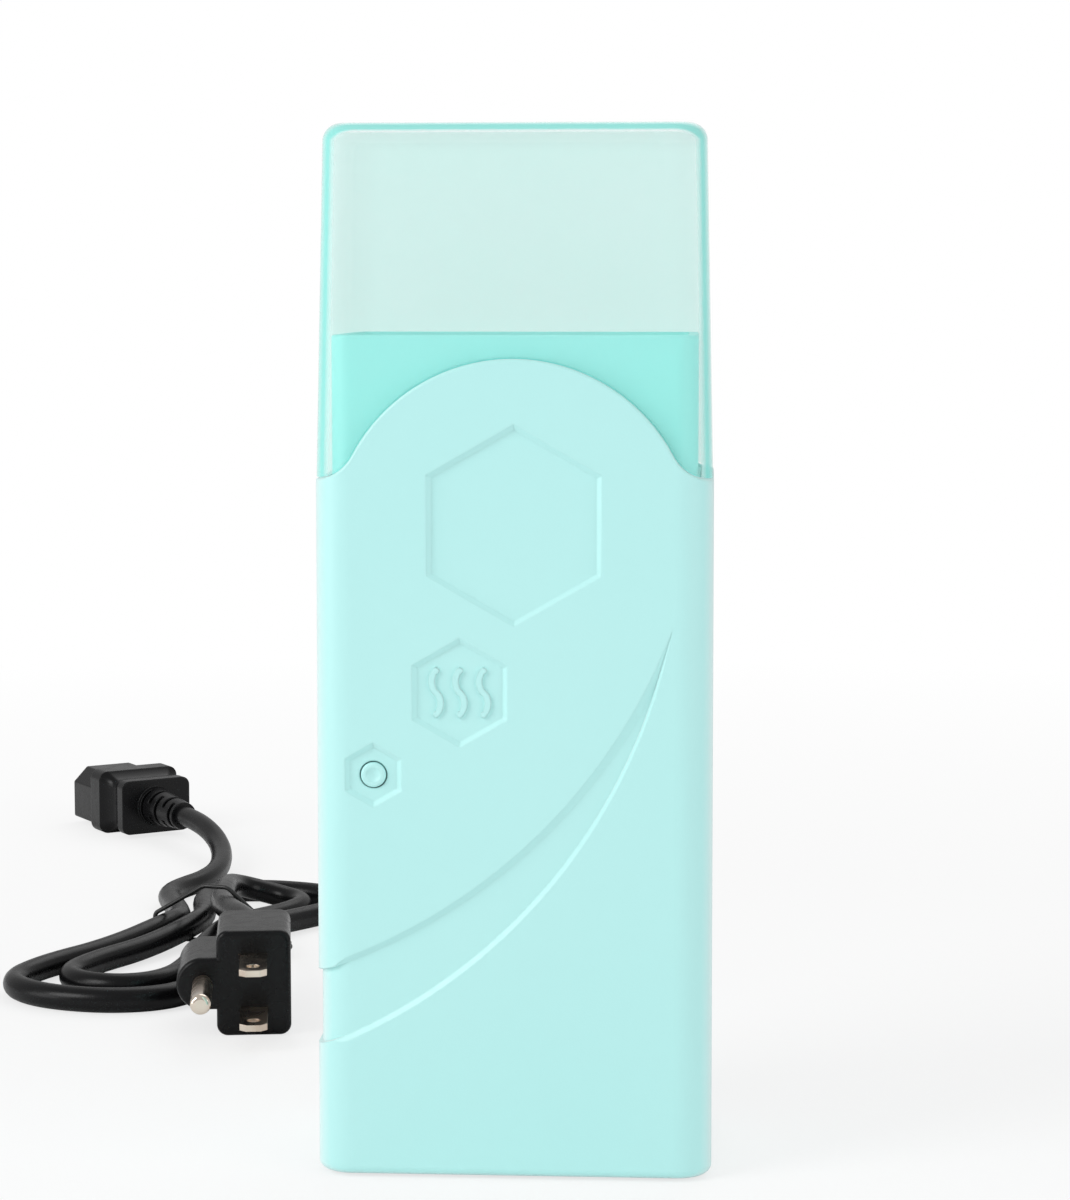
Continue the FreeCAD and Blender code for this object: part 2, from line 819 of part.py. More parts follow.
def cartridge_collar():
    """Collar on a flange, with an inner deck that carries the heat sleeve."""
    width, depth = collar_size()
    inner_width = width - 2 * collar_wall
    inner_depth = depth - 2 * collar_wall
    inner_radius = collar_radius() - collar_wall
    tube = rounded_block(width, depth, collar_radius(), collar_ledge_z, collar_top_z)
    tube = tube.makeFillet(collar_wall / 4, at_z(tube, collar_top_z))
    flange = case_block(collar_ledge_z, collar_ledge_z + collar_flange, case_wall + fit_gap)
    rim_z = shoulder_z - collar_rim_drop
    rim = case_block(rim_z - collar_rim_height, rim_z, case_wall + fit_gap)
    body = tube.multiFuse([flange, rim])
    body = body.cut(rounded_block(inner_width, inner_depth, inner_radius, deck_z, collar_top_z + overrun))
    low_z = collar_ledge_z - overrun
    body = body.cut(rounded_block(inner_width, inner_depth, inner_radius, low_z, deck_z - deck_thickness))
    return body.cut(sleeve_block(sleeve_wall + fit_gap, low_z, deck_z + overrun))


def mouth_ring(low_z, high_z, opening):
    """Ring that fills the collar around the well's mouth."""
    width, depth = collar_size()
    drawn_in = 2 * (collar_wall + fit_gap)
    radius = collar_radius() - collar_wall - fit_gap
    ring = rounded_block(width - drawn_in, depth - drawn_in, radius, low_z, high_z)
    return ring.cut(opening)


def sleeve_gasket():
    """Flat silicone ring between the deck and the sleeve's flange."""
    top_z = deck_z + gasket_thickness
    return mouth_ring(deck_z, top_z, sleeve_block(sleeve_wall + fit_gap, deck_z - overrun, top_z + overrun))


def flange_top_z():
    """Top of the heat sleeve's flange."""
    return deck_z + gasket_thickness + sleeve_flange


def mouth_bezel():
    """Funnel ring over the sleeve's flange, its mouth chamfered."""
    low_z = flange_top_z()
    high_z = low_z + bezel_height
    mouth_width = well_width + bezel_height
    mouth_depth = well_depth + bezel_height
    funnel = Part.makeLoft([
        rounded_wire(well_width, well_depth, well_radius, low_z),
        rounded_wire(mouth_width, mouth_depth, well_radius + bezel_height / 2, high_z),
    ], True, True)
    return mouth_ring(low_z, high_z, funnel)


def strap_places():
    """Straps behind the sleeve: (height, height of the stack under it)."""
    return [
        (heater_z, heater_thickness + film_thickness),
        (cutoff_z, thermostat_thickness),
    ]


def sleeve_rear_y():
    """Rear face of the heat sleeve."""
    return well_depth / 2 + sleeve_wall


def heat_sleeve():
    """Aluminium well with a floor, a top flange and bosses for the straps."""
    low_z = well_floor_z - sleeve_wall
    body = sleeve_block(sleeve_wall, low_z, flange_top_z())
    flange = mouth_ring(deck_z + gasket_thickness, flange_top_z(), sleeve_block(0, low_z, flange_top_z()))
    bosses = []
    pilots = []
    rear = sleeve_rear_y()
    for z, stack in strap_places():
        for x in (-strap_boss_x, strap_boss_x):
            bosses.append(rod_y(strap_boss_radius, x, z, rear - root_overlap, rear + stack))
            low_y = rear + stack - small_screw_bite - fit_gap
            pilots.append(rod_y(small_screw_radius + thread_gap, x, z, low_y, rear + stack + overrun))
    body = body.multiFuse([flange] + bosses + earth_tag())
    body = body.cut(sleeve_block(0, well_floor_z, cap_top_z))
    return body.cut(Part.makeCompound(pilots))


def earth_tag_front_y():
    """Front end of the earth tag."""
    return earth_tag_rear - tab_thickness - tab_length


def earth_tag():
    """Tab hung under the sleeve's floor, its blade pointing forward."""
    half = pin_height / 2
    thick = tab_thickness / 2
    low_z = earth_tag_z - thick
    high_z = well_floor_z - sleeve_wall / 2
    hanger = box((-half, earth_tag_rear - tab_thickness, low_z), (half, earth_tag_rear, high_z))
    blade = box((-half, earth_tag_front_y(), low_z), (half, earth_tag_rear, earth_tag_z + thick))
    return [hanger, blade]


# Heating

def plate_behind(width, height, low_y, thickness, x, z):
    """Upright plate behind the sleeve."""
    low = (x - width / 2, low_y, z - height / 2)
    high = (x + width / 2, low_y + thickness, z + height / 2)
    return box(low, high)


def ptc_heater():
    """Flat ceramic heater against the sleeve, with chamfered edges."""
    plate = plate_behind(heater_width, heater_height, sleeve_rear_y(), heater_thickness, 0, heater_z)
    return plate.makeChamfer(film_thickness, plate.Edges)


def heater_film():
    """Insulating film between the heater and its strap."""
    width = heater_width + film_margin
    height = heater_height + 2 * film_margin
    return plate_behind(width, height, sleeve_rear_y() + heater_thickness, film_thickness, 0, heater_z)


def strap(z, stack, height):
    """Spring steel strap across two bosses."""
    width = 2 * (strap_boss_x + strap_boss_radius)
    low_y = sleeve_rear_y() + stack
    plate = plate_behind(width, height, low_y, strap_thickness, 0, z)
    holes = []
    for x in (-strap_boss_x, strap_boss_x):
        holes.append(rod_y(small_screw_radius + fit_gap, x, z, low_y - overrun, low_y + overrun))
    return plate.cut(Part.makeCompound(holes))


def strap_screws():
    """Two small screws for each strap."""
    screws = []
    for z, stack in strap_places():
        seat_y = sleeve_rear_y() + stack + strap_thickness
        length = strap_thickness + small_screw_bite
        for x in (-strap_boss_x, strap_boss_x):
            screws.append(small_screw(x, z, seat_y, length))
    return screws


def thermostat():
    """Bimetal cut-off in a flat case, with its two lead ends."""
    rear = sleeve_rear_y()
    body = plate_behind(thermostat_width, thermostat_height, rear, thermostat_thickness, cutoff_x, cutoff_z)
    return body.makeChamfer(film_thickness * 2, body.Edges)


def thermal_fuse():
    """Axial one-shot fuse lying against the sleeve under the same strap."""
    y = sleeve_rear_y() + fuse_radius
    low_z = cutoff_z - fuse_length / 2
    can = Part.makeCylinder(fuse_radius, fuse_length, Vector(fuse_x, y, low_z))
    lead_length = fuse_length + 2 * fuse_lead_length
    lead = Part.makeCylinder(fuse_lead_radius, lead_length, Vector(fuse_x, y, low_z - fuse_lead_length))
    return can.fuse(lead)


# Button and board

def wall_inner_y():
    """Inner face of the front wall at the button."""
    return front_y(small_hexagon_z) + case_wall


def flange_rear_y():
    """Rear face of the button's flange."""
    return wall_inner_y() + fit_gap + button_flange


def switch_front_y():
    """Front face of the tact switch."""
    return flange_rear_y() + plunger_exposed


def board_front_y():
    """Front face of the control board."""
    return switch_front_y() + switch_height


def board_screw_heights():
    """Heights of the two board screws."""
    return [small_hexagon_z - board_screw_z, small_hexagon_z + board_screw_z]


def power_button():
    """Round push-button with a dished face and a flange behind the wall."""
    face = front_y(small_hexagon_z) + button_sink
    x = small_hexagon_x
    z = small_hexagon_z
    flange_front = wall_inner_y() + fit_gap
    stem = rod_y(button_radius, x, z, face, flange_rear_y())
    rim = [edge for edge in stem.Edges if edge.BoundBox.YMax < face + button_edge_radius]
    stem = stem.makeFillet(button_edge_radius, rim)
    flange = rod_y(button_flange_radius, x, z, flange_front, flange_rear_y())
    dish_radius = (button_dish_radius ** 2 + button_dish_depth ** 2) / (2 * button_dish_depth)
    dish = Part.makeSphere(dish_radius, Vector(x, face + button_dish_depth - dish_radius, z))
    return fuse_all([stem, flange]).cut(dish)


def switch_plunger():
    """Actuator of the tact switch, pushed by the button."""
    rear = switch_front_y() + plunger_seat
    return rod_y(plunger_radius, small_hexagon_x, small_hexagon_z, flange_rear_y(), rear)


def tact_switch():
    """Square tact switch with a bore for its plunger."""
    half = switch_side / 2
    low = (small_hexagon_x - half, switch_front_y(), small_hexagon_z - half)
    high = (small_hexagon_x + half, board_front_y(), small_hexagon_z + half)
    bore_start = switch_front_y() - overrun
    bore_end = switch_front_y() + plunger_seat + button_travel + 2 * fit_gap
    bore = rod_y(plunger_radius + button_gap, small_hexagon_x, small_hexagon_z, bore_start, bore_end)
    return box(low, high).cut(bore)


def board_centre_x():
    """Middle of the control board."""
    return small_hexagon_x + board_shift


def control_board():
    """Narrow circuit board behind the button."""
    x = board_centre_x()
    low = (x - board_width / 2, board_front_y(), small_hexagon_z - board_height / 2)
    high = (x + board_width / 2, board_front_y() + board_thickness, small_hexagon_z + board_height / 2)
    radius = small_screw_radius + fit_gap
    holes = []
    for z in board_screw_heights():
        holes.append(rod_y(radius, small_hexagon_x, z, low[1] - overrun, high[1] + overrun))
    return box(low, high).cut(Part.makeCompound(holes))


def on_board(x, z, width, height, tall):
    """Box standing on the board's front face."""
    rear = board_front_y()
    return box((x - width / 2, rear - tall, z - height / 2), (x + width / 2, rear, z + height / 2))


def indicator_led():
    """Flat lamp on the board, above the switch."""
    return on_board(small_hexagon_x, small_hexagon_z + led_z, led_width, led_width, led_height)


def board_parts():
    """A capacitor and two regulators on the board's front."""
    x = board_centre_x() + board_width / 2 - regulator_width / 2 - fit_gap
    rear = board_front_y()
    capacitor = rod_y(capacitor_radius, x, small_hexagon_z + board_height / 4, rear - capacitor_height, rear)
    parts = [capacitor]
    for z in (small_hexagon_z, small_hexagon_z - board_height / 4):
        parts.append(on_board(x, z, regulator_width, regulator_width, regulator_height))
    return parts


def board_screws():
    """Two small screws from behind into the front half's bosses."""
    screws = []
    seat_y = board_front_y() + board_thickness
    length = board_thickness + small_screw_bite
    for z in board_screw_heights():
        screws.append(small_screw(small_hexagon_x, z, seat_y, length))
    return screws


# Mains inlet

def rear_face_y():
    """Outer face of the inlet's flange, just below the rear face of the case."""
    return -front_y(inlet_z) - inlet_sink


def inlet_front_y():
    """Inner end of the inlet's body."""
    return rear_face_y() - inlet_body_depth


def inlet_outline(width, height, chamfer, y):
    """Outline with two chamfered upper corners, facing along Y."""
    x = width / 2
    low = inlet_z - height / 2
    high = inlet_z + height / 2
    points = [
        Vector(-x, y, low),
        Vector(x, y, low),
        Vector(x, y, high - chamfer),
        Vector(x - chamfer, y, high),
        Vector(-x + chamfer, y, high),
        Vector(-x, y, high - chamfer),
        Vector(-x, y, low),
    ]
    return Part.Face(Part.makePolygon(points))


def inlet_floor_y():
    """Floor of the inlet's cavity."""
    return rear_face_y() - cavity_depth


def pin_places():
    """Places of the three pins: (x, z), earth last."""
    side = pin_spacing / 2
    return [(-side, inlet_z - pin_offset), (side, inlet_z - pin_offset), (0, inlet_z + pin_offset)]


def pin_box(x, z, low_y, high_y):
    """Flat pin standing along Y."""
    half_x = pin_width / 2
    half_z = pin_height / 2
    return box((x - half_x, low_y, z - half_z), (x + half_x, high_y, z + half_z))


def inlet_body():
    """Mains inlet: flange let into the rear face, body through the cut-out, open cavity to the rear."""
    rear = rear_face_y()
    seat = rear - inlet_flange_thickness
    front = inlet_front_y()
    flange = rounded_block(inlet_flange_width, inlet_flange_height, inlet_corner_radius, seat, rear)
    width = inlet_body_width - 2 * fit_gap
    height = inlet_body_height - 2 * fit_gap
    solid = face_rear(fuse_all([flange, rounded_block(width, height, inlet_corner_radius, front, seat)]))
    cavity = inlet_outline(cavity_width, cavity_height, cavity_chamfer, inlet_floor_y())
    solid = solid.cut(cavity.extrude(Vector(0, cavity_depth + overrun, 0)))
    slots = [pin_box(x, z, front - overrun, inlet_floor_y() + overrun) for x, z in pin_places()]
    return solid.cut(Part.makeCompound(slots))


def inlet_pins():
    """Three flat pins that go on as tabs behind the inlet."""
    front = inlet_front_y()
    pins = []
    for x, z in pin_places():
        pin = pin_box(x, z, front, inlet_floor_y() + pin_length)
        pin = pin.makeChamfer(pin_width / 4, [edge for edge in pin.Edges
                                              if edge.BoundBox.YMin > inlet_floor_y() + pin_length / 2])
        tab = box((x - tab_thickness / 2, front - tab_length, z - pin_height / 2),
                  (x + tab_thickness / 2, front, z + pin_height / 2))
        pins.append(fuse_all([pin, tab]))
    return pins


# Wires

def terminal(x, z, tab_end_y, wide, high):
    """Push-on terminal over a tab that ends at tab_end_y, closed towards -Y."""
    low = (x - wide / 2 - terminal_wall, tab_end_y - terminal_wall, z - high / 2 - terminal_wall)
    high_corner = (x + wide / 2 + terminal_wall, tab_end_y + terminal_length, z + high / 2 + terminal_wall)
    tab = box((x - wide / 2, tab_end_y, z - high / 2), (x + wide / 2, tab_end_y + tab_length, z + high / 2))
    return box(low, high_corner).cut(tab)


def inlet_tab_y():
    """Front ends of the inlet's tabs."""
    return inlet_front_y() - tab_length


def spade_terminals():
    """Push-on terminals on the three inlet tabs and on the sleeve's earth tag."""
    terminals = [terminal(x, z, inlet_tab_y(), tab_thickness, pin_height) for x, z in pin_places()]
    return terminals + [terminal(0, earth_tag_z, earth_tag_front_y(), pin_height, tab_thickness)]


def wire(name, points):
    """Insulated wire through points given as tuples."""
    return tube(name, run_path([Vector(*point) for point in points]), wire_diameter)


def inlet_wire_start(index):
    """Where a wire leaves one of the inlet's terminals."""
    x, z = pin_places()[index]
    return (x, inlet_tab_y() - terminal_wall, z)


def board_wire_end(x):
    """Where a wire meets the lower edge of the board."""
    return (x, board_front_y() + board_thickness / 2, small_hexagon_z - board_height / 2)


def live_wire():
    """From the inlet to the board."""
    return wire("live_wire", [inlet_wire_start(0)] + live_route + [board_wire_end(live_board_x)])


def neutral_wire():
    """From the inlet round the right side to the thermal fuse."""
    y = sleeve_rear_y() + fuse_radius
    end = (fuse_x, y, cutoff_z - fuse_length / 2 - fuse_lead_length)
    return wire("neutral_wire", [inlet_wire_start(1)] + neutral_route + [end])


def earth_wire():
    """From the inlet to the tag under the sleeve."""
    end = (0, earth_tag_front_y() - terminal_wall, earth_tag_z)
    return wire("earth_wire", [inlet_wire_start(2)] + earth_route + [end])


def heater_lead():
    """From the board round the left side to the thermostat."""
    end = (cutoff_x, sleeve_rear_y() + thermostat_thickness / 2, cutoff_z - thermostat_height / 2)
    return wire("heater_lead", [board_wire_end(heater_board_x)] + heater_route + [end])


def heater_links():
    """Short wires from the thermostat and the fuse up to the heater."""
    y = sleeve_rear_y() + link_inset
    high_z = heater_z - heater_height / 2
    starts = [
        (cutoff_x, cutoff_z + thermostat_height / 2),
        (fuse_x, cutoff_z + fuse_length / 2 + fuse_lead_length),
    ]
    return [Part.makeCylinder(wire_diameter / 2, high_z - z, Vector(x, y, z)) for x, z in starts]


# Mains lead: paths

def lead_spot(point):
    """A point of the lead's plan, (right, away, up), turned and set on the table."""
    turned = Rotation(Vector(0, 0, 1), lead_turn_angle).multVec(Vector(*point))
    return Vector(lead_x, lead_y, 0) + turned


def lead_direction(heading):
    """A level direction of the lead's plan on the table."""
    return Rotation(Vector(0, 0, 1), lead_turn_angle).multVec(Vector(heading[0], heading[1], 0)).normalize()


def ease(value):
    """Smooth step from 0 to 1."""
    value = min(max(value, 0.0), 1.0)
    return value * value * (3 - 2 * value)


def hank_lobes():
    """Lobes of the hank: (side, waist in, waist out, spread, reach, rise, first turn, last turn)."""
    whole = math.pi
    return [
        (1, waist_outer, waist_outer, entry_spread, entry_reach, 0.0, -entry_turn_angle, 0.0),
        (1, waist_outer, waist_outer, bottom_outer_spread, bottom_outer_reach, 0.0, 0.0, whole),
        (-1, waist_outer, waist_inner, top_outer_spread, top_outer_reach, 0.0, 0.0, whole),
        (1, waist_inner, waist_inner, bottom_inner_spread, bottom_inner_reach, 0.0, 0.0, whole),
        (-1, waist_inner, 0.0, top_inner_spread, top_inner_reach, layer_rise, 0.0, whole * last_lobe_share),
    ]


def hank_point(lobe, turn):
    """A lobe swings out from the waist and back: across = (waist + spread sin2) cos, along = reach sin."""
    side, waist_in, waist_out, spread, reach, rise, first, last = lobe
    share = turn / math.pi
    waist = waist_in + (waist_out - waist_in) * ease((share - shift_start_share) / (1 - shift_start_share))
    across = -side * (waist + spread * math.sin(turn) ** 2) * math.cos(turn)
    along = -side * reach * math.sin(turn)
    climb = ease((share - climb_start_share) / (last_lobe_share - climb_start_share))
    height = cord_diameter / 2 + tie_lift * math.exp(-(along / tie_lift_reach) ** 2) + rise * climb
    tilt = math.radians(-hank_tilt_angle)
    right = across * math.cos(tilt) - along * math.sin(tilt)
    away = across * math.sin(tilt) + along * math.cos(tilt)
    return lead_spot((right, away, height))


def hank_nodes():
    """Points and directions along the hank, evenly spread over each lobe."""
    nodes = []
    for index, lobe in enumerate(hank_lobes()):
        first, last = lobe[-2:]
        spans = max(1, round(lobe_span_count * (last - first) / math.pi))
        nudge = (last - first) / (spans * lobe_span_count ** 2)
        for step in range(0 if index == 0 else 1, spans + 1):
            turn = first + (last - first) * step / spans
            before = hank_point(lobe, max(turn - nudge, first))
            after = hank_point(lobe, min(turn + nudge, last))
            nodes.append((hank_point(lobe, turn), (after - before).normalize()))
    return nodes


def arc_or_line(start, corner, end):
    """Arc that leaves start towards corner and arrives at end from it, the two legs being equal."""
    middle = (start + end) / 2
    height = (corner - middle).Length
    half_chord = (end - start).Length / 2
    if height < half_chord * flat_share:
        return Part.LineSegment(start, end)
    sagitta = half_chord * math.tan(math.atan2(height, half_chord) / 2)
    return Part.Arc(start, middle + (corner - middle).normalize() * sagitta, end)


def biarc(start, start_way, end, end_way):
    """Two arcs, tangent to each other, between two points with given directions."""
    gap = end - start
    ways = start_way + end_way
    bend = 2 * (1 - start_way.dot(end_way))
    if bend < flat_share:
        leg = gap.dot(gap) / (2 * gap.dot(ways))
    else:
        leg = (math.sqrt(gap.dot(ways) ** 2 + bend * gap.dot(gap)) - gap.dot(ways)) / bend
    first_corner = start + start_way * leg
    last_corner = end - end_way * leg
    joint = (first_corner + last_corner) / 2
    return [arc_or_line(start, first_corner, joint), arc_or_line(joint, last_corner, end)]


def hank_path():
    """Curves of the hank from its straight start to its straight end."""
    nodes = hank_nodes()
    curves = [Part.LineSegment(nodes[0][0] - nodes[0][1] * cord_diameter, nodes[0][0])]
    for (start, start_way), (end, end_way) in zip(nodes, nodes[1:]):
        curves += biarc(start, start_way, end, end_way)
    curves.append(Part.LineSegment(nodes[-1][0], nodes[-1][0] + nodes[-1][1] * cord_diameter))
    return curves


def run_path(points):
    """Straight runs joined by tangent arcs as large as the runs allow."""
    curves = []
    start = points[0]
    for before, corner, after in zip(points, points[1:], points[2:]):
        way_in = (corner - before).normalize()
        way_out = (after - corner).normalize()
        leg = run_share * min((corner - before).Length, (after - corner).Length)
        turn = way_in.getAngle(way_out)
        arc_start = corner - way_in * leg
        arc_end = corner + way_out * leg
        print("  turn", round(math.degrees(turn)), "degrees, radius", round(leg / math.tan(turn / 2), 1))
        curves.append(Part.LineSegment(start, arc_start))
        curves.append(arc_or_line(arc_start, corner, arc_end))
        start = arc_end
    curves.append(Part.LineSegment(start, points[-1]))
    return curves


def tube(name, curves, diameter):
    """Round tube along joined curves, its volume compared with section times length."""
    spine = Part.Wire([curve.toShape() for curve in curves])
    start = curves[0].StartPoint
    way = (curves[0].EndPoint - start).normalize()
    ring = Part.Wire(Part.Circle(start, way, diameter / 2).toShape())
    solid = spine.makePipeShell([ring], True, False)
    expected = math.pi * diameter ** 2 / 4 * spine.Length
    print(" ", name, "length", round(spine.Length, 1), "volume share", round(solid.Volume / expected, 4))
    return solid


def report_gap(curves):
    """Print the least gap of the hank to itself, measured on points along its path."""
    spine = Part.Wire([curve.toShape() for curve in curves])
    points = spine.discretize(Distance=cord_diameter / 4)
    skip = math.ceil(3 * cord_diameter / (points[1] - points[0]).Length)
    spans = []
    for index, point in enumerate(points):
        spans += [(point - other).Length for other in points[index + skip:]]
    least = min(spans)
    print("  least gap of the hank to itself", round(least - cord_diameter, 2))


def connector_spot():
    """Tip of the connector's relief, as (right, away, up)."""
    return connector_start + (grip_height / 2,)


def plug_spot():
    """Tip of the plug's relief, as (right, away, up)."""
    return plug_start + (plug_height / 2,)


def lead_points():
    """Route of the lead from the connector's relief to the hank's start."""
    stub = hank_path()[0]
    way = (stub.EndPoint - stub.StartPoint).normalize()
    before = stub.StartPoint - way * join_run
    before.z = cord_diameter / 2
    start = lead_spot(connector_spot())
    after = start - lead_direction(connector_heading_share) * end_run
    return [start, after] + [lead_spot(point) for point in lead_route] + [before, stub.StartPoint]


def tail_points():
    """Route of the tail from the hank's end to the plug's relief."""
    stub = hank_path()[-1]
    way = (stub.EndPoint - stub.StartPoint).normalize()
    end = lead_spot(plug_spot())
    before = end - lead_direction(plug_heading_share) * end_run
    start = stub.EndPoint
    return [start, start + way * join_run] + [lead_spot(point) for point in tail_route] + [before, end]


def cord_hank():
    """The tied loops, one unbroken tube."""
    curves = hank_path()
    report_gap(curves)
    return tube("cord_hank", curves, cord_diameter)


def waist_spot(across, along, height):
    """A point given across and along the hank at its waist."""
    tilt = math.radians(-hank_tilt_angle)
    right = across * math.cos(tilt) - along * math.sin(tilt)
    away = across * math.sin(tilt) + along * math.cos(tilt)
    return lead_spot((right, away, height))


def rounded_loop(points, radius):
    """Closed path of straight runs and arcs of one radius."""
    corners = []
    for index, corner in enumerate(points):
        way_in = (corner - points[index - 1]).normalize()
        way_out = (points[(index + 1) % len(points)] - corner).normalize()
        leg = radius * math.tan(way_in.getAngle(way_out) / 2)
        corners.append((corner - way_in * leg, corner, corner + way_out * leg))
    curves = []
    for index, (arc_start, corner, arc_end) in enumerate(corners):
        curves.append(Part.LineSegment(corners[index - 1][2], arc_start))
        curves.append(arc_or_line(arc_start, corner, arc_end))
    return curves


def cord_tie():
    """Wire tie round the waist of the hank, with its twisted end."""
    side = waist_outer + cord_diameter / 2 + tie_gap + tie_diameter / 2
    low_z = tie_diameter / 2 + fit_gap
    outline = [
        (-side, low_z),
        (side, low_z),
        (side, tie_shoulder_z),
        (tie_top_x + tie_top_width / 2, tie_top_z),
        (tie_top_x - tie_top_width / 2, tie_top_z),
        (-side, tie_shoulder_z),
    ]
    points = [waist_spot(across, 0, z) for across, z in outline]
    ring = tube("cord_tie", rounded_loop(points, tie_corner_radius), tie_diameter)
    end = tube("tie end", run_path([waist_spot(*point) for point in tie_end_route]), tie_end_diameter)
    return ring.fuse(end)


# Mains lead: connector and plug, drawn along +X from the cord's end

def along_x(shape):
    """Turn a shape drawn along +Z to lie along +X, its width upright."""
    turned = shape.copy()
    turned.rotate(Vector(0, 0, 0), Vector(0, 1, 0), 90)
    return turned


def lay(shape, spot, heading):
    """Lay a shape on the table, its cord end at a spot of the lead's plan."""
    way = lead_direction(heading)
    placed = shape.copy()
    turn = Rotation(Vector(0, 0, 1), math.degrees(math.atan2(way.y, way.x)))
    placed.Placement = Placement(lead_spot(spot), turn).multiply(placed.Placement)
    return placed


def ribbed_relief(length, grooves):
    """Tapered strain relief with staggered slots."""
    cone = Part.makeCone(relief_tip_radius, relief_root_radius, length, Vector(0, 0, 0), Vector(1, 0, 0))
    wide = relief_root_radius + overrun
    half_bridge = groove_bridge / 2
    for index in range(grooves):
        share = (index + 0.5) / grooves
        x = length * share - groove_width / 2
        core = relief_tip_radius + (relief_root_radius - relief_tip_radius) * share - groove_depth
        ring = Part.makeCylinder(wide, groove_width, Vector(x, 0, 0), Vector(1, 0, 0))
        ring = ring.cut(Part.makeCylinder(core, groove_width, Vector(x, 0, 0), Vector(1, 0, 0)))
        if index % 2:
            bridge = box((x - overrun, -wide, -half_bridge), (x + overrun, wide, half_bridge))
        else:
            bridge = box((x - overrun, -half_bridge, -wide), (x + overrun, half_bridge, wide))
        cone = cone.cut(ring.cut(bridge))
    return cone


def plug_block():
    """Moulded block of the plug, flared from the neck at its relief."""
    share = plug_neck_share
    start_x = plug_relief_length
    block_x = start_x + plug_neck_length
    neck = Part.makeLoft([
        rounded_wire(plug_height * share, plug_width * share, plug_radius * share, start_x),
        rounded_wire(plug_height, plug_width, plug_radius, block_x),
    ], True, True)
    block = rounded_block(plug_height, plug_width, plug_radius, block_x, plug_face_x())
    return along_x(fuse_all([neck, block]))


def nose_start_x():
    """Where the connector's nose begins."""
    return relief_length + grip_length


def contact_places():
    """Middles of the connector's slots: (y, z)."""
    side = pin_spacing / 2
    return [(-side, -pin_offset), (side, -pin_offset), (0, pin_offset)]


def contact_box(y, z, low_x, high_x, margin):
    """Box around a pin's section, grown by margin."""
    half_y = pin_width / 2 + margin
    half_z = pin_height / 2 + margin
    return box((low_x, y - half_y, z - half_z), (high_x, y + half_y, z + half_z))


def connector_nose():
    """Nose of the connector, two of its edges chamfered."""
    half_y = nose_width / 2
    half_z = nose_height / 2
    x = nose_start_x()
    outline = [
        (-half_y, -half_z),
        (half_y, -half_z),
        (half_y, half_z - nose_chamfer),
        (half_y - nose_chamfer, half_z),
        (-half_y + nose_chamfer, half_z),
        (-half_y, half_z - nose_chamfer),
        (-half_y, -half_z),
    ]
    face = Part.Face(Part.makePolygon([Vector(x, y, z) for y, z in outline]))
    nose = face.extrude(Vector(nose_length, 0, 0))
    return nose.makeFillet(nose_radius, [edge for edge in nose.Edges if edge.BoundBox.XMax > x + overrun])


def grip_section(share, x):
    """Rounded section of the grip, at a share of its full size."""
    return rounded_wire(grip_height * share, grip_width * share, grip_radius * share, x)


def connector_grip():
    """Grip of the connector: a collar, a hollow waist and a block."""
    start_x = relief_length
    waist_start_x = start_x + grip_collar_length
    block_x = start_x + grip_length - grip_block_length
    waist_x = (waist_start_x + block_x) / 2
    collar = [grip_section(grip_collar_share, start_x), grip_section(grip_collar_share, waist_start_x)]
    block = [grip_section(1, block_x), grip_section(1, start_x + grip_length)]
    waist = [collar[1], grip_section(grip_waist_share, waist_x), block[0]]
    pieces = [
        Part.makeLoft(collar, True, True),
        Part.makeLoft(waist, True, False),
        Part.makeLoft(block, True, True),
    ]
    return along_x(fuse_all(pieces))


def cord_connector():
    """C13 connector: ribbed relief, waisted grip and nose with three slots."""
    body = fuse_all([ribbed_relief(relief_length, relief_groove_count), connector_grip(), connector_nose()])
    end_x = nose_start_x() + nose_length
    margin = slot_gap + contact_wall
    slots = [contact_box(y, z, end_x - slot_depth, end_x + overrun, margin) for y, z in contact_places()]
    return lay(body.cut(Part.makeCompound(slots)), connector_spot(), connector_heading_share)


def connector_contacts():
    """Three sprung sleeves in the connector's slots."""
    end_x = nose_start_x() + nose_length
    low_x = end_x - slot_depth
    contacts = []
    for y, z in contact_places():
        sleeve = contact_box(y, z, low_x, end_x - contact_inset, slot_gap + contact_wall)
        sleeve = sleeve.cut(contact_box(y, z, low_x + contact_wall, end_x, slot_gap))
        contacts.append(lay(sleeve, connector_spot(), connector_heading_share))
    return contacts


def plug_face_x():
    """Front face of the plug."""
    return plug_relief_length + plug_neck_length + plug_length


def blades_at_plug():
    """The two blades, before they are laid on the table."""
    blades = []
    low_x = plug_face_x() - blade_root
    high_x = plug_face_x() + blade_length
    half = blade_width / 2
    for z in (-blade_spacing / 2, blade_spacing / 2):
        low = (low_x, -half, z - blade_thickness / 2)
        high = (high_x, half, z + blade_thickness / 2)
        blade = box(low, high)
        tips = [edge for edge in blade.Edges if edge.BoundBox.XMin > plug_face_x()]
        tips = [edge for edge in tips if edge.BoundBox.ZLength > edge.BoundBox.YLength]
        blade = blade.makeChamfer(blade_thickness, tips)
        spot = Vector(high_x - blade_hole_inset, 0, z - overrun)
        blades.append(blade.cut(Part.makeCylinder(blade_hole_radius, 2 * overrun, spot)))
    return blades


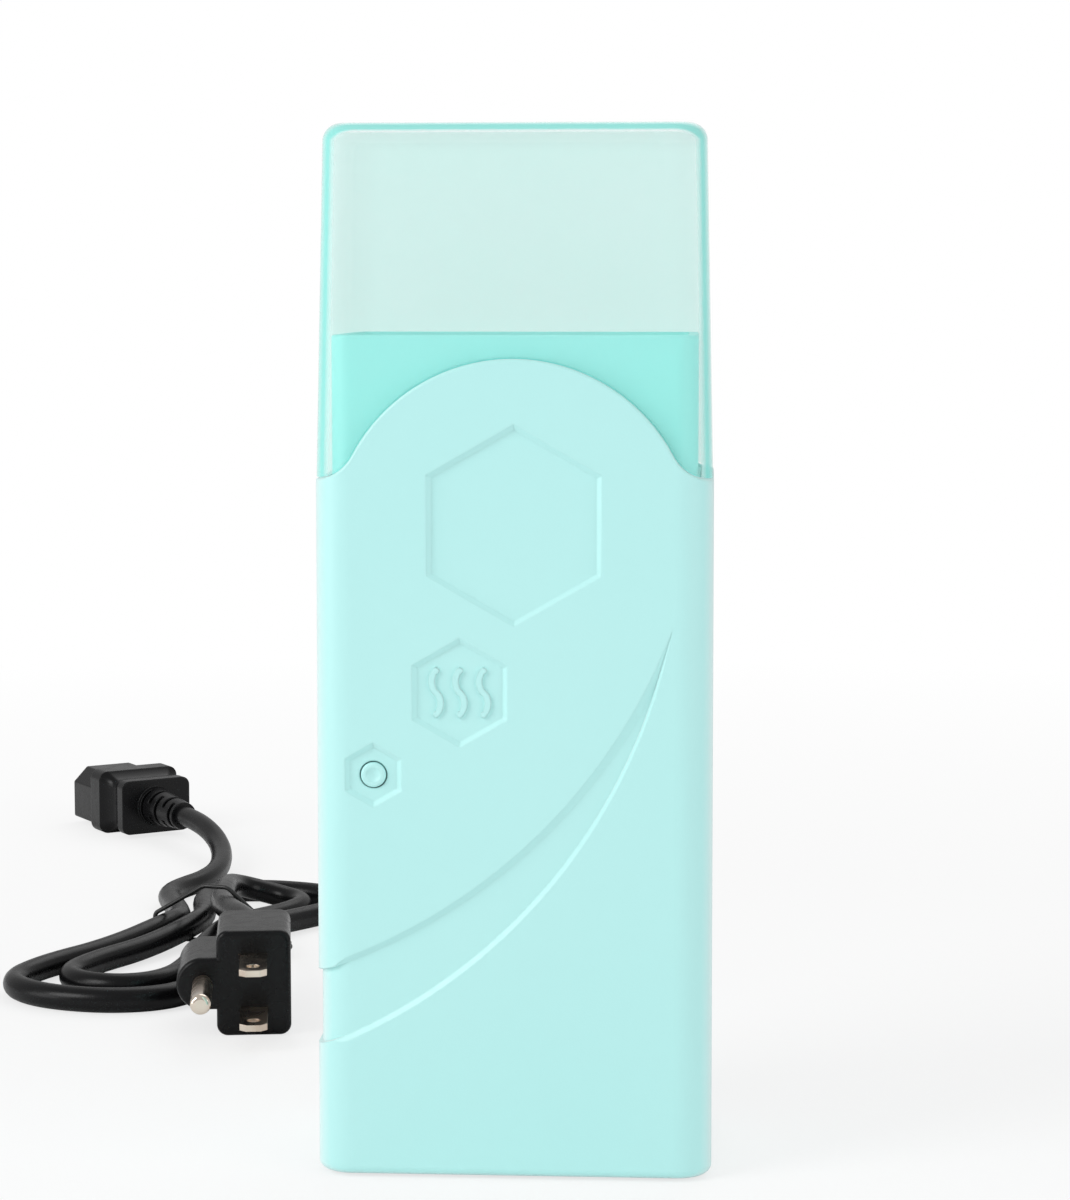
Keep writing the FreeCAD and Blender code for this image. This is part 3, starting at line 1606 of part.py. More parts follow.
def ground_at_plug():
    """Round ground pin with a domed tip and a necked root, before it is laid on the table."""
    neck_x = plug_face_x() + ground_neck
    pin_end = ground_length - ground_neck
    pin = Part.makeCylinder(ground_radius, pin_end, Vector(neck_x, -ground_offset, 0), Vector(1, 0, 0))
    tip = [edge for edge in pin.Edges if edge.BoundBox.XMin > neck_x + overrun]
    pin = pin.makeFillet(ground_radius / 2, tip)
    root_start = Vector(plug_face_x() - blade_root, -ground_offset, 0)
    root_length = blade_root + ground_neck + root_overlap
    return pin.fuse(Part.makeCylinder(ground_root_radius, root_length, root_start, Vector(1, 0, 0)))


def ground_lobe():
    """Rounded side of the plug that carries the ground pin."""
    start = Vector(plug_face_x() - plug_length, -ground_offset, 0)
    lobe = Part.makeCylinder(ground_lobe_radius, plug_length, start, Vector(1, 0, 0))
    low = (start.x, -ground_offset, -ground_lobe_radius)
    high = (plug_face_x(), root_overlap - plug_width / 2, ground_lobe_radius)
    return fuse_all([lobe, box(low, high)])


def plug_body():
    """Moulded plug with its ribbed relief and the roots of its pins let in."""
    body = fuse_all([plug_block(), ground_lobe()])
    rim = [edge for edge in body.Edges if edge.BoundBox.XMin > plug_face_x() - root_overlap]
    body = body.makeFillet(plug_edge_radius, rim)
    body = fuse_all([ribbed_relief(plug_relief_length, plug_relief_groove_count), body])
    roots = Part.makeCompound(blades_at_plug() + [ground_at_plug()])
    return lay(body.cut(roots), plug_spot(), plug_heading_share)


def plug_blades():
    """The two blades of the plug."""
    return [lay(blade, plug_spot(), plug_heading_share) for blade in blades_at_plug()]


def ground_pin():
    """The ground pin of the plug."""
    return lay(ground_at_plug(), plug_spot(), plug_heading_share)


# Export

def main():
    """Build every piece and write one STEP file for each."""
    os.makedirs("parts", exist_ok=True)
    shell = case_shell()
    pieces = {
        "front_shell": front_shell(shell),
        "rear_shell": rear_shell(shell),
        "cap": cap(),
        "cartridge_collar": cartridge_collar(),
        "sleeve_gasket": sleeve_gasket(),
        "heat_sleeve": heat_sleeve(),
        "mouth_bezel": mouth_bezel(),
        "ptc_heater": ptc_heater(),
        "heater_film": heater_film(),
        "heater_strap": strap(*strap_places()[0], heater_strap_height),
        "thermostat": thermostat(),
        "thermal_fuse": thermal_fuse(),
        "cutoff_strap": strap(*strap_places()[1], cutoff_strap_height),
        "strap_screws": strap_screws(),
        "power_button": power_button(),
        "switch_plunger": switch_plunger(),
        "tact_switch": tact_switch(),
        "control_board": control_board(),
        "indicator_led": indicator_led(),
        "board_parts": board_parts(),
        "board_screws": board_screws(),
        "inlet_body": inlet_body(),
        "inlet_pins": inlet_pins(),
        "case_screws": case_screws(),
        "rubber_feet": rubber_feet(),
        "spade_terminals": spade_terminals(),
        "live_wire": live_wire(),
        "neutral_wire": neutral_wire(),
        "earth_wire": earth_wire(),
        "heater_lead": heater_lead(),
        "heater_links": heater_links(),
        "cord_connector": cord_connector(),
        "connector_contacts": connector_contacts(),
        "cord_lead": tube("cord_lead", run_path(lead_points()), cord_diameter),
        "cord_hank": cord_hank(),
        "cord_tail": tube("cord_tail", run_path(tail_points()), cord_diameter),
        "cord_tie": cord_tie(),
        "plug_body": plug_body(),
        "plug_blades": plug_blades(),
        "ground_pin": ground_pin(),
    }
    for name, piece in pieces.items():
        shape = Part.makeCompound(piece) if isinstance(piece, list) else piece
        solids = shape.Solids
        shape = solids[0] if len(solids) == 1 else Part.makeCompound(solids)
        state = "valid" if shape.isValid() else "INVALID"
        print(name, len(solids), "solids", round(shape.Volume, 1), "mm3", state)
        shape.exportStep("parts/" + name + ".step")


main()
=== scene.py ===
"""Looks of the roll-on wax warmer: finishes, mains lead, inner wires and a plain studio round the frame."""

import json
import logging
import math
from dataclasses import dataclass, field
from enum import Enum
from typing import Dict, Iterable, Protocol, Sequence, Tuple

import bpy
import numpy as np
from mathutils import Matrix, Vector

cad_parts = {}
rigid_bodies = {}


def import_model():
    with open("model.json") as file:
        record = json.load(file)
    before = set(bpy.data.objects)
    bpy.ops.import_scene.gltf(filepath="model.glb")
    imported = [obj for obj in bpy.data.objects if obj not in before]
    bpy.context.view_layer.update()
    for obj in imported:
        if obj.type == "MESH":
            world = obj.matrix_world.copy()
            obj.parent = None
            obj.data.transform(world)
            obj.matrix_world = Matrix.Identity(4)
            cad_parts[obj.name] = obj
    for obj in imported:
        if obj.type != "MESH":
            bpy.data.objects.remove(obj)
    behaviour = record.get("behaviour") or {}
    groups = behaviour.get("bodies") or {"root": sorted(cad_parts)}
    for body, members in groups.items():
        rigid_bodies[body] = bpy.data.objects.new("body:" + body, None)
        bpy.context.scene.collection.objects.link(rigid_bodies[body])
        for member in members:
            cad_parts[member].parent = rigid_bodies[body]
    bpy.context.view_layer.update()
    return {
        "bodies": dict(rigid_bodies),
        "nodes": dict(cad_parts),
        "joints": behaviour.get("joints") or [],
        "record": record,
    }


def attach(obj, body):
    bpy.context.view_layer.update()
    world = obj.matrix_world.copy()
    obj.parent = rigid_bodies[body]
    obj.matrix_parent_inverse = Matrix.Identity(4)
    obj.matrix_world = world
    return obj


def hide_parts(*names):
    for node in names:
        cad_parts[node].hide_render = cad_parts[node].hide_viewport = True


LOG = logging.getLogger("wax_warmer")
MM = 0.001
CASE_BODY = "case"
WHITE = (1.0, 1.0, 1.0, 1.0)
CURVE_ORDER = 3
CURVE_STEPS = 12
ROUND_BEVEL = 8
THIN_BEVEL = 4

Colour = Tuple[float, float, float]
Point = Tuple[float, float, float]
Plan = Tuple[float, float]
Span = Tuple[float, float]


class Effect(Enum):
    """Shader groups that several finishes share."""

    GRAIN = "moulded_grain"
    DRIFT = "colour_drift"
    EDGES = "rounded_edges"
    BRUSH = "brushed_lines"
    CORNERS = "rounded_corners"


def srgb(red: int, green: int, blue: int) -> Colour:
    """Turn 8-bit screen values into linear light.

    Args:
        red: red from 0 to 255.
        green: green from 0 to 255.
        blue: blue from 0 to 255.

    Returns:
        The linear colour.
    """
    values = np.array([red, green, blue], float) / 255.0
    linear = np.where(values <= 0.04045, values / 12.92, ((values + 0.055) / 1.055) ** 2.4)
    return tuple(float(v) for v in linear)


def opaque(colour: Colour) -> Tuple[float, float, float, float]:
    """Add a full alpha to a colour.

    Args:
        colour: linear colour.

    Returns:
        The colour with its alpha.
    """
    return (*colour, 1.0)


class Graph:
    """A node tree that is filled by short calls."""

    def __init__(self, tree: bpy.types.NodeTree) -> None:
        """Keep the tree and clear it.

        Args:
            tree: node tree of a material, a world or a group.
        """
        self.tree = tree
        tree.nodes.clear()

    def node(self, kind: str, settings: Dict[str, object] | None = None,
             **inputs: object) -> bpy.types.Node:
        """Add a node and set or link its inputs.

        Args:
            kind: Blender's type name without the ShaderNode prefix.
            settings: attributes of the node itself.
            **inputs: values or output sockets by input name, with _ for a space.

        Returns:
            The new node.
        """
        made = self.tree.nodes.new(kind if kind.startswith("Node") else "ShaderNode" + kind)
        for name, value in (settings or {}).items():
            setattr(made, name, value)
        for name, value in inputs.items():
            self.feed(made.inputs[name.replace("_", " ")], value)
        return made

    def feed(self, socket: bpy.types.NodeSocket, value: object) -> None:
        """Link an output to a socket, or set its value.

        Args:
            socket: input socket.
            value: an output socket or a plain value.
        """
        if isinstance(value, bpy.types.NodeSocket):
            self.tree.links.new(value, socket)
        else:
            socket.default_value = value

    def math(self, operation: str, first: object, second: object,
             clamp: bool = False) -> bpy.types.NodeSocket:
        """Add a Math node.

        Args:
            operation: Blender's operation name.
            first: first value or socket.
            second: second value or socket.
            clamp: whether the result stays between 0 and 1.

        Returns:
            The result's socket.
        """
        made = self.node("Math", {"operation": operation, "use_clamp": clamp})
        self.feed(made.inputs[0], first)
        self.feed(made.inputs[1], second)
        return made.outputs[0]

    def mix(self, share: object, first: object, second: object) -> bpy.types.NodeSocket:
        """Mix two colours, on the colour sockets of a Mix node: inputs 6 and 7, output 2.

        Args:
            share: share of the second colour.
            first: first colour or socket.
            second: second colour or socket.

        Returns:
            The mixed colour's socket.
        """
        made = self.node("Mix", {"data_type": "RGBA"})
        self.feed(made.inputs[0], share)
        self.feed(made.inputs[6], first)
        self.feed(made.inputs[7], second)
        return made.outputs[2]

    def ramp(self, value: object, span: Span = (0.0, 1.0), to: Span = (0.0, 1.0)) -> bpy.types.NodeSocket:
        """Map a value from one range to another, clamped.

        Args:
            value: value or socket.
            span: the incoming range.
            to: results at the start and at the end of that range.

        Returns:
            The mapped value's socket.
        """
        made = self.node("MapRange", {"clamp": True})
        for index, item in enumerate((value, *span, *to)):
            self.feed(made.inputs[index], item)
        return made.outputs[0]

    def vector(self, operation: str, first: object, second: object | None = None) -> bpy.types.Node:
        """Add a Vector Math node.

        Args:
            operation: Blender's operation name.
            first: first vector or socket.
            second: second vector or socket, where the operation takes two.

        Returns:
            The new node.
        """
        made = self.node("VectorMath", {"operation": operation})
        self.feed(made.inputs[0], first)
        if second is not None:
            self.feed(made.inputs[1], second)
        return made

    def show(self, shader: bpy.types.Node, kind: str = "OutputMaterial") -> None:
        """Link a shader to a new output node.

        Args:
            shader: node whose first output is shown.
            kind: type name of the output node.
        """
        self.node(kind, Surface=shader.outputs[0])


@dataclass
class Effects:
    """Builds the shared shader groups once and places them in materials."""

    coarse_share: float = 0.17
    fine_weight: float = 0.65
    coarse_weight: float = 0.35
    speck_span: Span = (0.35, 0.65)
    cloud_span: Span = (0.3, 0.7)
    bevel_samples: int = 6
    turned_span: Span = (0.75, 0.98)
    patch_scale: float = 90.0
    patch_span: Span = (0.4, 0.65)
    corner_span: Span = (0.97, 0.996)
    trees: Dict[Effect, bpy.types.NodeTree] = field(default_factory=dict)

    def __post_init__(self) -> None:
        """Build every group."""
        self._grain()
        self._drift()
        self._edges()
        self._brush()
        self._corners()

    def _start(self, effect: Effect, inputs: Sequence[Tuple[str, str, object]],
               outputs: Sequence[Tuple[str, str]]) -> Tuple[Graph, bpy.types.Node, bpy.types.Node]:
        """Open a group with named sockets.

        Args:
            effect: which group.
            inputs: name, socket type and default of each input.
            outputs: name and socket type of each output.

        Returns:
            The graph, its input node and its output node.
        """
        tree = bpy.data.node_groups.new(effect.value, "ShaderNodeTree")
        for name, kind, default in inputs:
            socket = tree.interface.new_socket(name=name, in_out="INPUT", socket_type=kind)
            socket.default_value = default
        for name, kind in outputs:
            tree.interface.new_socket(name=name, in_out="OUTPUT", socket_type=kind)
        self.trees[effect] = tree
        graph = Graph(tree)
        return graph, graph.node("NodeGroupInput"), graph.node("NodeGroupOutput")

    def _grain(self) -> None:
        """Spark-eroded mould grain: fine noise over a coarser one, as a height and a mask."""
        graph, given, result = self._start(
            Effect.GRAIN,
            [("Scale", "NodeSocketFloat", 2500.0)],
            [("Height", "NodeSocketFloat"), ("Mask", "NodeSocketFloat")],
        )
        place = graph.node("TexCoord").outputs["Object"]
        fine = graph.node("TexNoise", Vector=place, Scale=given.outputs["Scale"], Detail=3.0, Roughness=0.6)
        coarse_scale = graph.math("MULTIPLY", given.outputs["Scale"], self.coarse_share)
        coarse = graph.node("TexNoise", Vector=place, Scale=coarse_scale, Detail=2.0)
        height = graph.math("ADD", graph.math("MULTIPLY", fine.outputs[0], self.fine_weight),
                            graph.math("MULTIPLY", coarse.outputs[0], self.coarse_weight))
        graph.feed(result.inputs["Height"], height)
        graph.feed(result.inputs["Mask"], graph.ramp(coarse.outputs[0], self.speck_span))

    def _drift(self) -> None:
        """Slow change between two close colours, as in a moulding that cooled unevenly."""
        graph, given, result = self._start(
            Effect.DRIFT,
            [("First", "NodeSocketColor", WHITE), ("Second", "NodeSocketColor", WHITE),
             ("Scale", "NodeSocketFloat", 14.0)],
            [("Color", "NodeSocketColor"), ("Mask", "NodeSocketFloat")],
        )
        place = graph.node("TexCoord").outputs["Object"]
        scale = given.outputs["Scale"]
        cloud = graph.node("TexNoise", Vector=place, Scale=scale, Detail=2.0, Roughness=0.4)
        mask = graph.ramp(cloud.outputs[0], self.cloud_span)
        graph.feed(result.inputs["Color"], graph.mix(mask, given.outputs["First"], given.outputs["Second"]))
        graph.feed(result.inputs["Mask"], mask)

    def _edges(self) -> None:
        """Rounded edges: a bevelled normal, and a mask of where it leaves the plain one."""
        graph, given, result = self._start(
            Effect.EDGES,
            [("Radius", "NodeSocketFloat", 0.0004)],
            [("Normal", "NodeSocketVector"), ("Mask", "NodeSocketFloat")],
        )
        bevel = graph.node("Bevel", {"samples": self.bevel_samples}, Radius=given.outputs["Radius"])
        plain = graph.node("NewGeometry").outputs["Normal"]
        along = graph.vector("DOT_PRODUCT", bevel.outputs[0], plain)
        graph.feed(result.inputs["Normal"], bevel.outputs[0])
        graph.feed(result.inputs["Mask"], graph.ramp(along.outputs["Value"], self.turned_span, (1.0, 0.0)))

    def _brush(self) -> None:
        """Brushed metal: noise drawn out along one axis, as a height and a mask."""
        graph, given, result = self._start(
            Effect.BRUSH,
            [("Stretch", "NodeSocketVector", (1.0, 1.0, 0.04)), ("Scale", "NodeSocketFloat", 3000.0)],
            [("Height", "NodeSocketFloat"), ("Mask", "NodeSocketFloat")],
        )
        place = graph.node("TexCoord").outputs["Object"]
        drawn = graph.vector("MULTIPLY", place, given.outputs["Stretch"])
        lines = graph.node("TexNoise", Vector=drawn.outputs[0], Scale=given.outputs["Scale"], Detail=3.0)
        patches = graph.node("TexNoise", Vector=place, Scale=self.patch_scale, Detail=2.0)
        graph.feed(result.inputs["Height"], lines.outputs[0])
        graph.feed(result.inputs["Mask"], graph.ramp(patches.outputs[0], self.patch_span))

    def _corners(self) -> None:
        """Rounded outer corners of a box: a mask, and how far the normal points up or down."""
        graph, given, result = self._start(
            Effect.CORNERS,
            [("Centre", "NodeSocketVector", (0.0, 0.0, 0.0))],
            [("Mask", "NodeSocketFloat"), ("Rise", "NodeSocketFloat")],
        )
        known = graph.node("TexCoord")
        normal = known.outputs["Normal"]
        sides = graph.vector("ABSOLUTE", normal)
        across, along, rise = graph.node("SeparateXYZ", Vector=sides.outputs[0]).outputs
        most = graph.math("MAXIMUM", across, graph.math("MAXIMUM", along, rise))
        corner = graph.ramp(most, self.corner_span, (1.0, 0.0))
        spoke = graph.vector("SUBTRACT", known.outputs["Object"], given.outputs["Centre"])
        reach = graph.vector("DOT_PRODUCT", spoke.outputs[0], normal)
        outward = graph.math("GREATER_THAN", reach.outputs["Value"], 0.0)
        graph.feed(result.inputs["Mask"], graph.math("MULTIPLY", corner, outward))
        graph.feed(result.inputs["Rise"], rise)

    def place(self, graph: Graph, effect: Effect, **inputs: object) -> bpy.types.Node:
        """Put a group into a material.

        Args:
            graph: the material's graph.
            effect: which group.
            **inputs: values or sockets by input name.

        Returns:
            The group node.
        """
        made = graph.node("Group")
        made.node_tree = self.trees[effect]
        for name, value in inputs.items():
            graph.feed(made.inputs[name], value)
        return made


def new_material(name: str) -> Tuple[bpy.types.Material, Graph]:
    """Make an empty node material.

    Args:
        name: its name.

    Returns:
        The material and its graph.
    """
    material = bpy.data.materials.new(name)
    material.use_nodes = True
    return material, Graph(material.node_tree)


class Finish(Protocol):
    """What every finish can do."""

    def build(self, name: str, effects: Effects) -> bpy.types.Material:
        """Make the material.

        Args:
            name: its name.
            effects: shared groups.

        Returns:
            The material.
        """


@dataclass(frozen=True)
class MouldedFinish:
    """Moulded plastic, vinyl or rubber: grain, colour drift, rounded edges, and a painted sheen that pales
    the colour at grazing angles.
    """

    colour: Colour
    drift: Colour
    roughness: Span = (0.38, 0.5)
    grain_scale: float = 2600.0
    grain_depth: float = 0.00002
    edge_radius: float = 0.0004
    edge_lift: float = 0.0
    specular: float = 0.5
    coat: float = 0.0
    # Painted sheen: the share, facing range and colour of the pale mix at grazing angles.
    painted_sheen: float = 0.0
    painted_sheen_turn: Span = (0.3, 0.75)
    painted_sheen_colour: Colour = (0.88, 0.88, 0.88)

    def build(self, name: str, effects: Effects) -> bpy.types.Material:
        """Make the material.

        Args:
            name: its name.
            effects: shared groups.

        Returns:
            The material.
        """
        material, graph = new_material(name)
        drift = effects.place(graph, Effect.DRIFT, First=opaque(self.colour), Second=opaque(self.drift))
        grain = effects.place(graph, Effect.GRAIN, Scale=self.grain_scale)
        edges = effects.place(graph, Effect.EDGES, Radius=self.edge_radius)
        bump = graph.node("Bump", Strength=1.0, Distance=self.grain_depth, Height=grain.outputs["Height"],
                          Normal=edges.outputs["Normal"])
        lift = graph.math("MULTIPLY", edges.outputs["Mask"], self.edge_lift)
        lifted = graph.mix(lift, drift.outputs["Color"], WHITE)
        # Painted sheen: the base colour is mixed towards pale grey where the surface turns away from the
        # view.
        facing = graph.node("LayerWeight", Blend=0.5).outputs["Facing"]
        painted_sheen = graph.ramp(facing, self.painted_sheen_turn, (0.0, self.painted_sheen))
        with_painted_sheen = graph.mix(painted_sheen, lifted, opaque(self.painted_sheen_colour))
        rough = graph.ramp(grain.outputs["Mask"], to=self.roughness)
        surface = graph.node("BsdfPrincipled", Base_Color=with_painted_sheen, Roughness=rough, Normal=bump.outputs[0])
        surface.inputs["Specular IOR Level"].default_value = self.specular
        surface.inputs["Coat Weight"].default_value = self.coat
        graph.show(surface)
        return material


@dataclass(frozen=True)
class MetalFinish:
    """Bare or plated metal with brushed lines and dull patches."""

    colour: Colour
    dull: Colour
    roughness: Span = (0.22, 0.42)
    stretch: Point = (1.0, 1.0, 0.05)
    line_scale: float = 3200.0
    line_depth: float = 0.00001
    edge_radius: float = 0.0002
    metallic: float = 1.0

    def build(self, name: str, effects: Effects) -> bpy.types.Material:
        """Make the material.

        Args:
            name: its name.
            effects: shared groups.

        Returns:
            The material.
        """
        material, graph = new_material(name)
        brush = effects.place(graph, Effect.BRUSH, Stretch=self.stretch, Scale=self.line_scale)
        edges = effects.place(graph, Effect.EDGES, Radius=self.edge_radius)
        colour = graph.mix(brush.outputs["Mask"], opaque(self.colour), opaque(self.dull))
        bump = graph.node("Bump", Strength=1.0, Distance=self.line_depth, Height=brush.outputs["Height"],
                          Normal=edges.outputs["Normal"])
        rough = graph.ramp(brush.outputs["Mask"], to=self.roughness)
        surface = graph.node("BsdfPrincipled", Base_Color=colour, Metallic=self.metallic, Roughness=rough,
                             Normal=bump.outputs[0])
        graph.show(surface)
        return material


@dataclass(frozen=True)
class TintedCapFinish:
    """Translucent tinted plastic of the cap: see-through walls that gather colour along rounded edges, with
    a painted highlight line just inside them.
    """

    wall: Colour
    haze: Colour
    edge: Colour
    # Colour of the painted highlight line inside the edge band.
    glint: Colour = (0.62, 0.92, 0.88)
    centre: Point = (0.0, 0.0, 0.17)
    wall_alpha: float = 0.2
    edge_alpha: float = 0.9
    edge_turn: Span = (0.22, 0.42)
    glint_turn: Span = (0.12, 0.24)
    rim_turn: Span = (0.5, 0.9)
    rim_share: float = 0.35
    top_width: float = 2.2
    light_share: float = 0.2
    specular: float = 0.2
    roughness: Span = (0.16, 0.26)
    drift_scale: float = 30.0
    grain_scale: float = 1600.0

    def build(self, name: str, effects: Effects) -> bpy.types.Material:
        """Make the material.

        Args:
            name: its name.
            effects: shared groups.

        Returns:
            The material.
        """
        material, graph = new_material(name)
        drift = effects.place(graph, Effect.DRIFT, First=opaque(self.wall), Second=opaque(self.haze),
                              Scale=self.drift_scale)
        grain = effects.place(graph, Effect.GRAIN, Scale=self.grain_scale)
        corners = effects.place(graph, Effect.CORNERS, Centre=self.centre)
        inner = graph.node("NewGeometry").outputs["Backfacing"]
        front = graph.math("SUBTRACT", corners.outputs["Mask"], inner, clamp=True)
        facing = graph.node("LayerWeight", Blend=0.5).outputs["Facing"]
        widening = graph.ramp(corners.outputs["Rise"], to=(1.0, self.top_width))
        widened = graph.math("MULTIPLY", facing, widening)
        rim = graph.ramp(facing, self.rim_turn, (1.0, self.rim_share))
        band = graph.math("MULTIPLY", graph.ramp(widened, self.edge_turn), rim)
        edge = graph.math("MULTIPLY", front, band)
        # Painted highlight: a pale glint line just inside the edge band, which also pales the outermost rim
        # where the band fades.
        glint = graph.math("MULTIPLY", front, graph.ramp(widened, self.glint_turn))
        colour = graph.mix(glint, drift.outputs["Color"], opaque(self.glint))
        colour = graph.mix(edge, colour, opaque(self.edge))
        cover = graph.ramp(edge, to=(self.wall_alpha, self.edge_alpha))
        path = graph.node("LightPath")
        lighting = graph.math("MAXIMUM", path.outputs["Is Shadow Ray"], path.outputs["Is Diffuse Ray"])
        alpha = graph.math("MULTIPLY", cover, graph.ramp(lighting, to=(1.0, self.light_share)))
        rough = graph.ramp(grain.outputs["Mask"], to=self.roughness)
        surface = graph.node("BsdfPrincipled", Base_Color=colour, Roughness=rough, Alpha=alpha)
        surface.inputs["Specular IOR Level"].default_value = self.specular
        graph.show(surface)
        return material


@dataclass(frozen=True)
class LaminateFinish:
    """Circuit board: solder resist with copper lines showing through as slightly paler tracks."""

    resist: Colour = (0.012, 0.09, 0.03)
    track: Colour = (0.03, 0.17, 0.06)
    pitch: float = 420.0
    track_span: Span = (0.04, 0.09)
    grain_scale: float = 4000.0
    grain_weight: float = 0.3
    relief: float = 0.00003
    roughness: Span = (0.3, 0.42)

    def build(self, name: str, effects: Effects) -> bpy.types.Material:
        """Make the material.

        Args:
            name: its name.
            effects: shared groups.

        Returns:
            The material.
        """
        material, graph = new_material(name)
        place = graph.node("TexCoord").outputs["Object"]
        settings = {"feature": "DISTANCE_TO_EDGE", "distance": "EUCLIDEAN"}
        cells = graph.node("TexVoronoi", settings, Vector=place, Scale=self.pitch)
        mask = graph.ramp(cells.outputs[0], self.track_span, (1.0, 0.0))
        colour = graph.mix(mask, opaque(self.resist), opaque(self.track))
        grain = effects.place(graph, Effect.GRAIN, Scale=self.grain_scale)
        specks = graph.math("MULTIPLY", grain.outputs["Height"], self.grain_weight)
        height = graph.math("ADD", specks, mask)
        bump = graph.node("Bump", Strength=1.0, Distance=self.relief, Height=height)
        rough = graph.ramp(mask, to=self.roughness)
        surface = graph.node("BsdfPrincipled", Base_Color=colour, Roughness=rough, Normal=bump.outputs[0])
        graph.show(surface)
        return material


MINT = srgb(188, 240, 238)
FINISHES: Dict[str, Finish] = {
    # The mint case carries the painted sheen at grazing angles.
    "mint_plastic": MouldedFinish(MINT, srgb(185, 239, 237), (0.34, 0.42), edge_radius=0.0005, painted_sheen=0.45),
    "clear_cap": TintedCapFinish((0.38, 0.82, 0.74), (0.43, 0.80, 0.75), (0.27, 0.78, 0.72)),
    "collar_plastic": MouldedFinish((0.35, 0.93, 0.89), (0.32, 0.90, 0.85), (0.36, 0.46)),
    "silicone": MouldedFinish((0.52, 0.53, 0.53), (0.47, 0.48, 0.48), (0.5, 0.62), 1800.0),
    "sleeve_aluminium": MetalFinish((0.80, 0.81, 0.82), (0.74, 0.75, 0.77), (0.42, 0.55), metallic=0.55),
    "heater_film": MouldedFinish((0.46, 0.17, 0.02), (0.40, 0.14, 0.015), (0.16, 0.24), 900.0, coat=0.4),
    "spring_steel": MetalFinish((0.60, 0.61, 0.62), (0.50, 0.51, 0.53), stretch=(0.05, 1.0, 1.0)),
    "screw_steel": MetalFinish((0.62, 0.63, 0.65), (0.52, 0.53, 0.56), (0.25, 0.4), (1.0, 0.2, 1.0)),
    "black_plastic": MouldedFinish((0.012, 0.012, 0.013), (0.016, 0.016, 0.017), (0.4, 0.55),
                                   edge_lift=0.02),
    "fuse_metal": MetalFinish((0.78, 0.76, 0.70), (0.66, 0.64, 0.58)),
    "button_plastic": MouldedFinish(MINT, srgb(184, 238, 236), (0.32, 0.4), edge_radius=0.0003),
    "board_laminate": LaminateFinish(),
    "lamp_plastic": MouldedFinish((0.62, 0.03, 0.012), (0.52, 0.022, 0.01), (0.1, 0.18), coat=0.6),
    "nickel_plate": MetalFinish((0.72, 0.68, 0.62), (0.62, 0.58, 0.52), (0.16, 0.3)),
    "contact_brass": MetalFinish((0.78, 0.57, 0.24), (0.62, 0.43, 0.17)),
    "live_insulation": MouldedFinish((0.010, 0.010, 0.010), (0.014, 0.014, 0.014), (0.35, 0.45), 1500.0),
    "neutral_insulation": MouldedFinish((0.74, 0.74, 0.71), (0.70, 0.70, 0.67), (0.35, 0.45), 1500.0),
    "earth_insulation": MouldedFinish((0.02, 0.19, 0.035), (0.025, 0.22, 0.045), (0.35, 0.45), 1500.0),
    "heater_insulation": MouldedFinish((0.42, 0.02, 0.015), (0.37, 0.018, 0.012), (0.45, 0.55), 1500.0),
    "cord_pvc": MouldedFinish((0.0045, 0.0045, 0.005), (0.0055, 0.0055, 0.006), (0.24, 0.3), 1900.0,
                              0.00003, edge_radius=0.0005, edge_lift=0.01, specular=0.2),
    "tie_plastic": MouldedFinish((0.008, 0.008, 0.008), (0.011, 0.011, 0.011), (0.3, 0.4), 1600.0),
    "blade_nickel": MetalFinish((0.80, 0.70, 0.60), (0.66, 0.54, 0.44), (0.14, 0.3), (0.06, 0.06, 1.0),
                                2600.0),
    "foot_rubber": MouldedFinish((0.022, 0.023, 0.023), (0.028, 0.029, 0.029), (0.6, 0.75), 1200.0,
                                 0.00004),
}


class Palette:
    """Materials by the record's slot names."""

    def __init__(self) -> None:
        """Build every finish."""
        effects = Effects()
        self.by_slot = {slot: finish.build(slot, effects) for slot, finish in FINISHES.items()}

    def dress_nodes(self, frame: dict) -> None:
        """Give each CAD node its slot's material.

        Args:
            frame: what import_model() returned.
        """
        for row in frame["record"]["subparts"]:
            node = frame["nodes"][row["node"]]
            node.data.materials.clear()
            node.data.materials.append(self.by_slot[row["material_slot"]])
            LOG.info("node %s wears %s", row["node"], row["material_slot"])

    def dress(self, piece: bpy.types.Object, slot: str) -> None:
        """Give a new piece a slot's material.

        Args:
            piece: the piece.
            slot: the record's slot.
        """
        piece.data.materials.append(self.by_slot[slot])


def soft_curve(name: str, splines: Iterable[np.ndarray], radius: float, closed: bool = False,
               bevel: int = ROUND_BEVEL) -> bpy.types.Object:
    """Round tubes on quadratic NURBS splines.

    Args:
        name: the piece's name.
        splines: control points of each spline, in metres.
        radius: radius of the tube.
        closed: whether the first spline is a closed ring.
        bevel: bevel resolution.

    Returns:
        The curve's object.
    """
    data = bpy.data.curves.new(name, "CURVE")
    data.dimensions = "3D"
    data.bevel_depth = radius
    data.bevel_resolution = bevel
    data.use_fill_caps = True
    data.resolution_u = CURVE_STEPS
    for index, points in enumerate(splines):
        spline = data.splines.new("NURBS")
        spline.points.add(len(points) - 1)
        homogeneous = np.concatenate([points, np.ones((len(points), 1))], axis=1)
        spline.points.foreach_set("co", homogeneous.astype(np.float32).ravel())
        spline.order_u = CURVE_ORDER
        spline.use_cyclic_u = closed and index == 0
        spline.use_endpoint_u = not spline.use_cyclic_u
    made = bpy.data.objects.new(name, data)
    bpy.context.scene.collection.objects.link(made)
    return made


@dataclass(frozen=True)
class Lobe:
    """One loop of the hank on one side of its tie (millimetres and radians)."""

    side: int
    waist_in: float
    waist_out: float
    spread: float
    reach: float
    rise: float = 0.0
    start: float = 0.0
    end: float = math.pi


